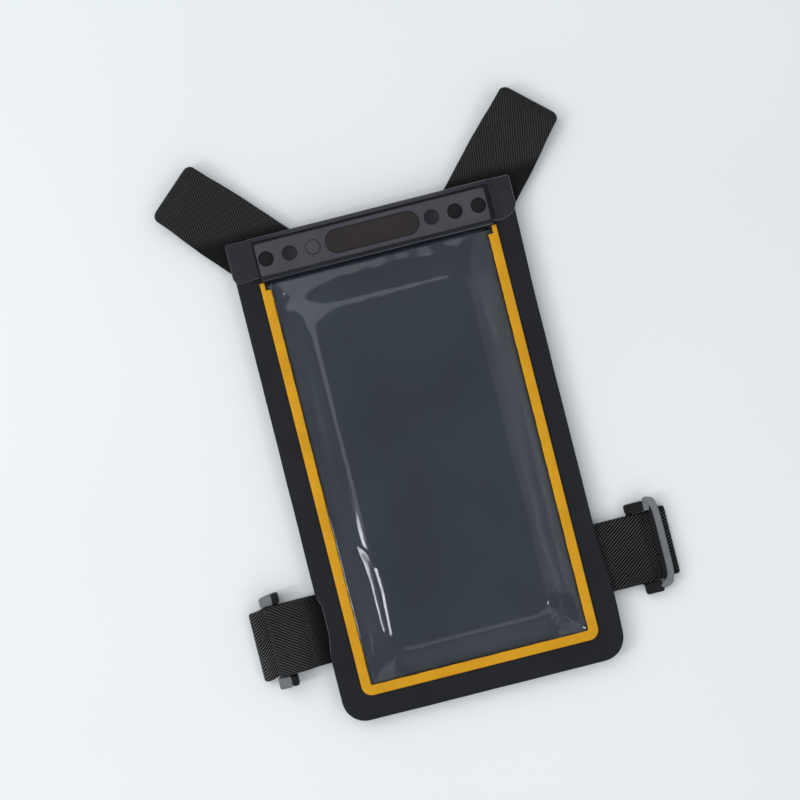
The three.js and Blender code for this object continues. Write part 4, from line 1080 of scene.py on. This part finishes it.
def shoulder_rows(side):
    """Rows of a strap: up from behind the header to its fold, back and down to the chest band's middle.

    side is -1 for the left strap and 1 for the right one, which crosses over it.
    """
    out = Vector((side * math.cos(SHOULDER_ANGLE), math.sin(SHOULDER_ANGLE), 0))
    root = Vector((side * SHOULDER_ROOT_X, SHOULDER_ROOT_Y, 0))
    fold_at = SHOULDER_REACH - FOLD_RADIUS - WEBBING_DEPTH / 2
    fold = root + out * fold_at
    across = Vector((-out.y, out.x, 0))
    rise_start = SHOULDER_BELOW_TOP / math.sin(SHOULDER_ANGLE) + SHOULDER_FLAT_ROOT
    rows = []
    for i in range(16):
        at = mix(-SHOULDER_ANCHOR, rise_start, i / 16)
        rows.append((root + out * at + Vector((0, 0, LAYER_3)), across, WEBBING_WIDTH))
    for i in range(25):
        share = eased(i / 24)
        point = root + out * mix(rise_start, fold_at, i / 24)
        point.z = mix(LAYER_3, LAYER_1 + 2 * FOLD_RADIUS, share)
        rows.append((point, across, mix(WEBBING_WIDTH, FOLD_WIDTH, share)))
    for i in range(1, 28):
        angle = math.pi * i / 28
        z = LAYER_1 + FOLD_RADIUS * (1 + math.cos(angle))
        width = fold_width((FOLD_RADIUS + WEBBING_DEPTH / 2) * math.sin(angle))
        rows.append((fold + out * FOLD_RADIUS * math.sin(angle) + Vector((0, 0, z)), across, width))
    down = Vector((-side * math.cos(LOWER_ANGLE), -math.sin(LOWER_ANGLE), 0))
    corner = fold - out * BEND_AT
    bend_start = corner + out * BEND_HALF
    bend_end = corner + down * BEND_HALF
    end = corner + down * ((corner.y - END_Y) / math.sin(LOWER_ANGLE))
    plan = [fold.lerp(bend_start, i / 20) for i in range(21)]
    plan += [bend_start.lerp(corner, t).lerp(corner.lerp(bend_end, t), t) for t in spread(0, 1, 1 / 24)[1:]]
    plan += [bend_end.lerp(end, i / 40) for i in range(1, 41)]
    rise_from = SIDE_Y + WEBBING_WIDTH / 2 * (1 + math.cos(LOWER_ANGLE)) + RAMP + 2 * MM
    if side > 0:
        crossing = math.pi - 2 * LOWER_ANGLE
        overlap = WEBBING_WIDTH / 2 * (1 + math.cos(crossing)) / math.sin(crossing)
        rise_from = corner.y - abs(corner.x) * math.tan(LOWER_ANGLE) + overlap + RAMP + 10 * MM
    for i, point in enumerate(plan):
        heading = (plan[min(i + 1, len(plan) - 1)] - plan[max(i - 1, 0)]).normalized()
        z = mix(LAYER_1, LAYER_2, eased((rise_from - point.y) / RAMP))
        width = mix(FOLD_WIDTH, WEBBING_WIDTH, eased(i / 20))
        rows.append((point + Vector((0, 0, z)), Vector((heading.y, -heading.x, 0)), width))
    return rows


def build_shoulder_straps():
    for name, side, material in (("left", -1, SHOULDER_LEFT), ("right", 1, SHOULDER_RIGHT)):
        obj = ribbon(f"shoulder_webbing_{name}", shoulder_rows(side), [(0.0, material)])
        finish_piece(obj, "webbing", f"shoulder_strap_{name}")


# Camera: straight down on the window, turned as the bag hangs in the photograph's frame
PHOTO_PIXELS = 800
PIXEL_SIZE = 0.429 * MM
PHOTO_TURN = math.radians(14.2)
BAG_MIDDLE_PIXEL = (427.3, 450.2)
BAG_MIDDLE_ABOVE_BOTTOM = 106.4 * MM
CAMERA_LENS = 100.0
CAMERA_SENSOR = 36.0


def build_camera():
    data = bpy.data.cameras.new("camera")
    data.lens = CAMERA_LENS
    data.sensor_width = CAMERA_SENSOR
    camera = bpy.data.objects.new("camera", data)
    bpy.context.scene.collection.objects.link(camera)
    right = Vector((math.cos(PHOTO_TURN), -math.sin(PHOTO_TURN), 0))
    up = Vector((math.sin(PHOTO_TURN), math.cos(PHOTO_TURN), 0))
    beside = (PHOTO_PIXELS / 2 - BAG_MIDDLE_PIXEL[0]) * PIXEL_SIZE
    above = (BAG_MIDDLE_PIXEL[1] - PHOTO_PIXELS / 2) * PIXEL_SIZE
    aim = Vector((0, BAG_BOTTOM + BAG_MIDDLE_ABOVE_BOTTOM, border_high.z)) + right * beside + up * above
    distance = PHOTO_PIXELS * PIXEL_SIZE * CAMERA_LENS / CAMERA_SENSOR
    camera.location = aim + Vector((0, 0, distance))
    camera.rotation_euler = (0, 0, -PHOTO_TURN)
    data.clip_start, data.clip_end = 0.01, 20
    bpy.context.scene.camera = camera


# Floor, world and lamps
FLOOR_HALF = 3.0
FLOOR_DROP = 0.05 * MM
FLOOR_DARK = (0.8, 0.83, 0.84)
FLOOR_LIGHT = (0.84, 0.87, 0.88)
WORLD_COLOUR = (0.92, 0.96, 1.0)
WORLD_STRENGTH = 0.56
LAMPS = [
    # name, place, what it points at, width, height, power
    ("key", (-0.5, 0.45, 1.0), (0, 0, 0), 1.1, 1.1, 5.0),
    ("fill", (0.9, 0.1, 0.8), (0, 0, 0), 0.9, 1.5, 1.5),
    ("low", (0.2, -1.0, 0.8), (0, 0, 0), 1.2, 0.5, 1.3),
    ("left_strip", (-0.8, -0.14, 0.75), (0, -0.07, 0), 0.11, 0.42, 2.2),
    ("corner_spark", (0.5, -0.5, 0.85), (0, 0, 0), 0.09, 0.09, 0.5),
]


def build_stage():
    corners = [(x * FLOOR_HALF, y * FLOOR_HALF, -FLOOR_DROP) for x, y in ((-1, -1), (1, -1), (1, 1), (-1, 1))]
    n = Nodes("floor")
    shade = n.ramp(n.noise(3, 2), (0.3, FLOOR_DARK), (0.7, FLOOR_LIGHT))
    material = n.principled(Base_Color=shade, Roughness=0.8, Specular_IOR_Level=0.2)
    floor = new_object("floor", corners, [[0, 1, 2, 3]], material)
    world = bpy.data.worlds.new("studio")
    world.use_nodes = True
    background = world.node_tree.nodes["Background"].inputs
    background["Color"].default_value = (*WORLD_COLOUR, 1)
    background["Strength"].default_value = WORLD_STRENGTH
    bpy.context.scene.world = world


def area_light(name, place, target, width, height, power):
    data = bpy.data.lights.new(name, "AREA")
    data.shape = "RECTANGLE"
    data.size, data.size_y = width, height
    data.energy = power
    lamp = bpy.data.objects.new(name, data)
    lamp.location = place
    lamp.rotation_euler = (Vector(target) - Vector(place)).to_track_quat("-Z", "Y").to_euler()
    bpy.context.scene.collection.objects.link(lamp)


build_camera()
build_stage()
for lamp in LAMPS:
    area_light(*lamp)
build_back_panel()
build_lining()
build_border()
build_edge_fold()
build_weld()
build_film()
build_header()
build_discs()
build_left_slider()
build_right_slider()
build_chest_band()
build_left_tab()
build_shoulder_straps()

# Looks of the frame's own pieces that stay, by how their names start
CAD_LOOKS = {"closure_bar_front": BAR, "closure_bar_back": BAR_BACK, "name_plate": PLATE,
             "magnet_back": MAGNET}
for node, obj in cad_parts.items():
    for start, material in CAD_LOOKS.items():
        if node.startswith(start):
            obj.material_slots[0].material = material

bpy.context.scene.view_settings.view_transform = "Standard"
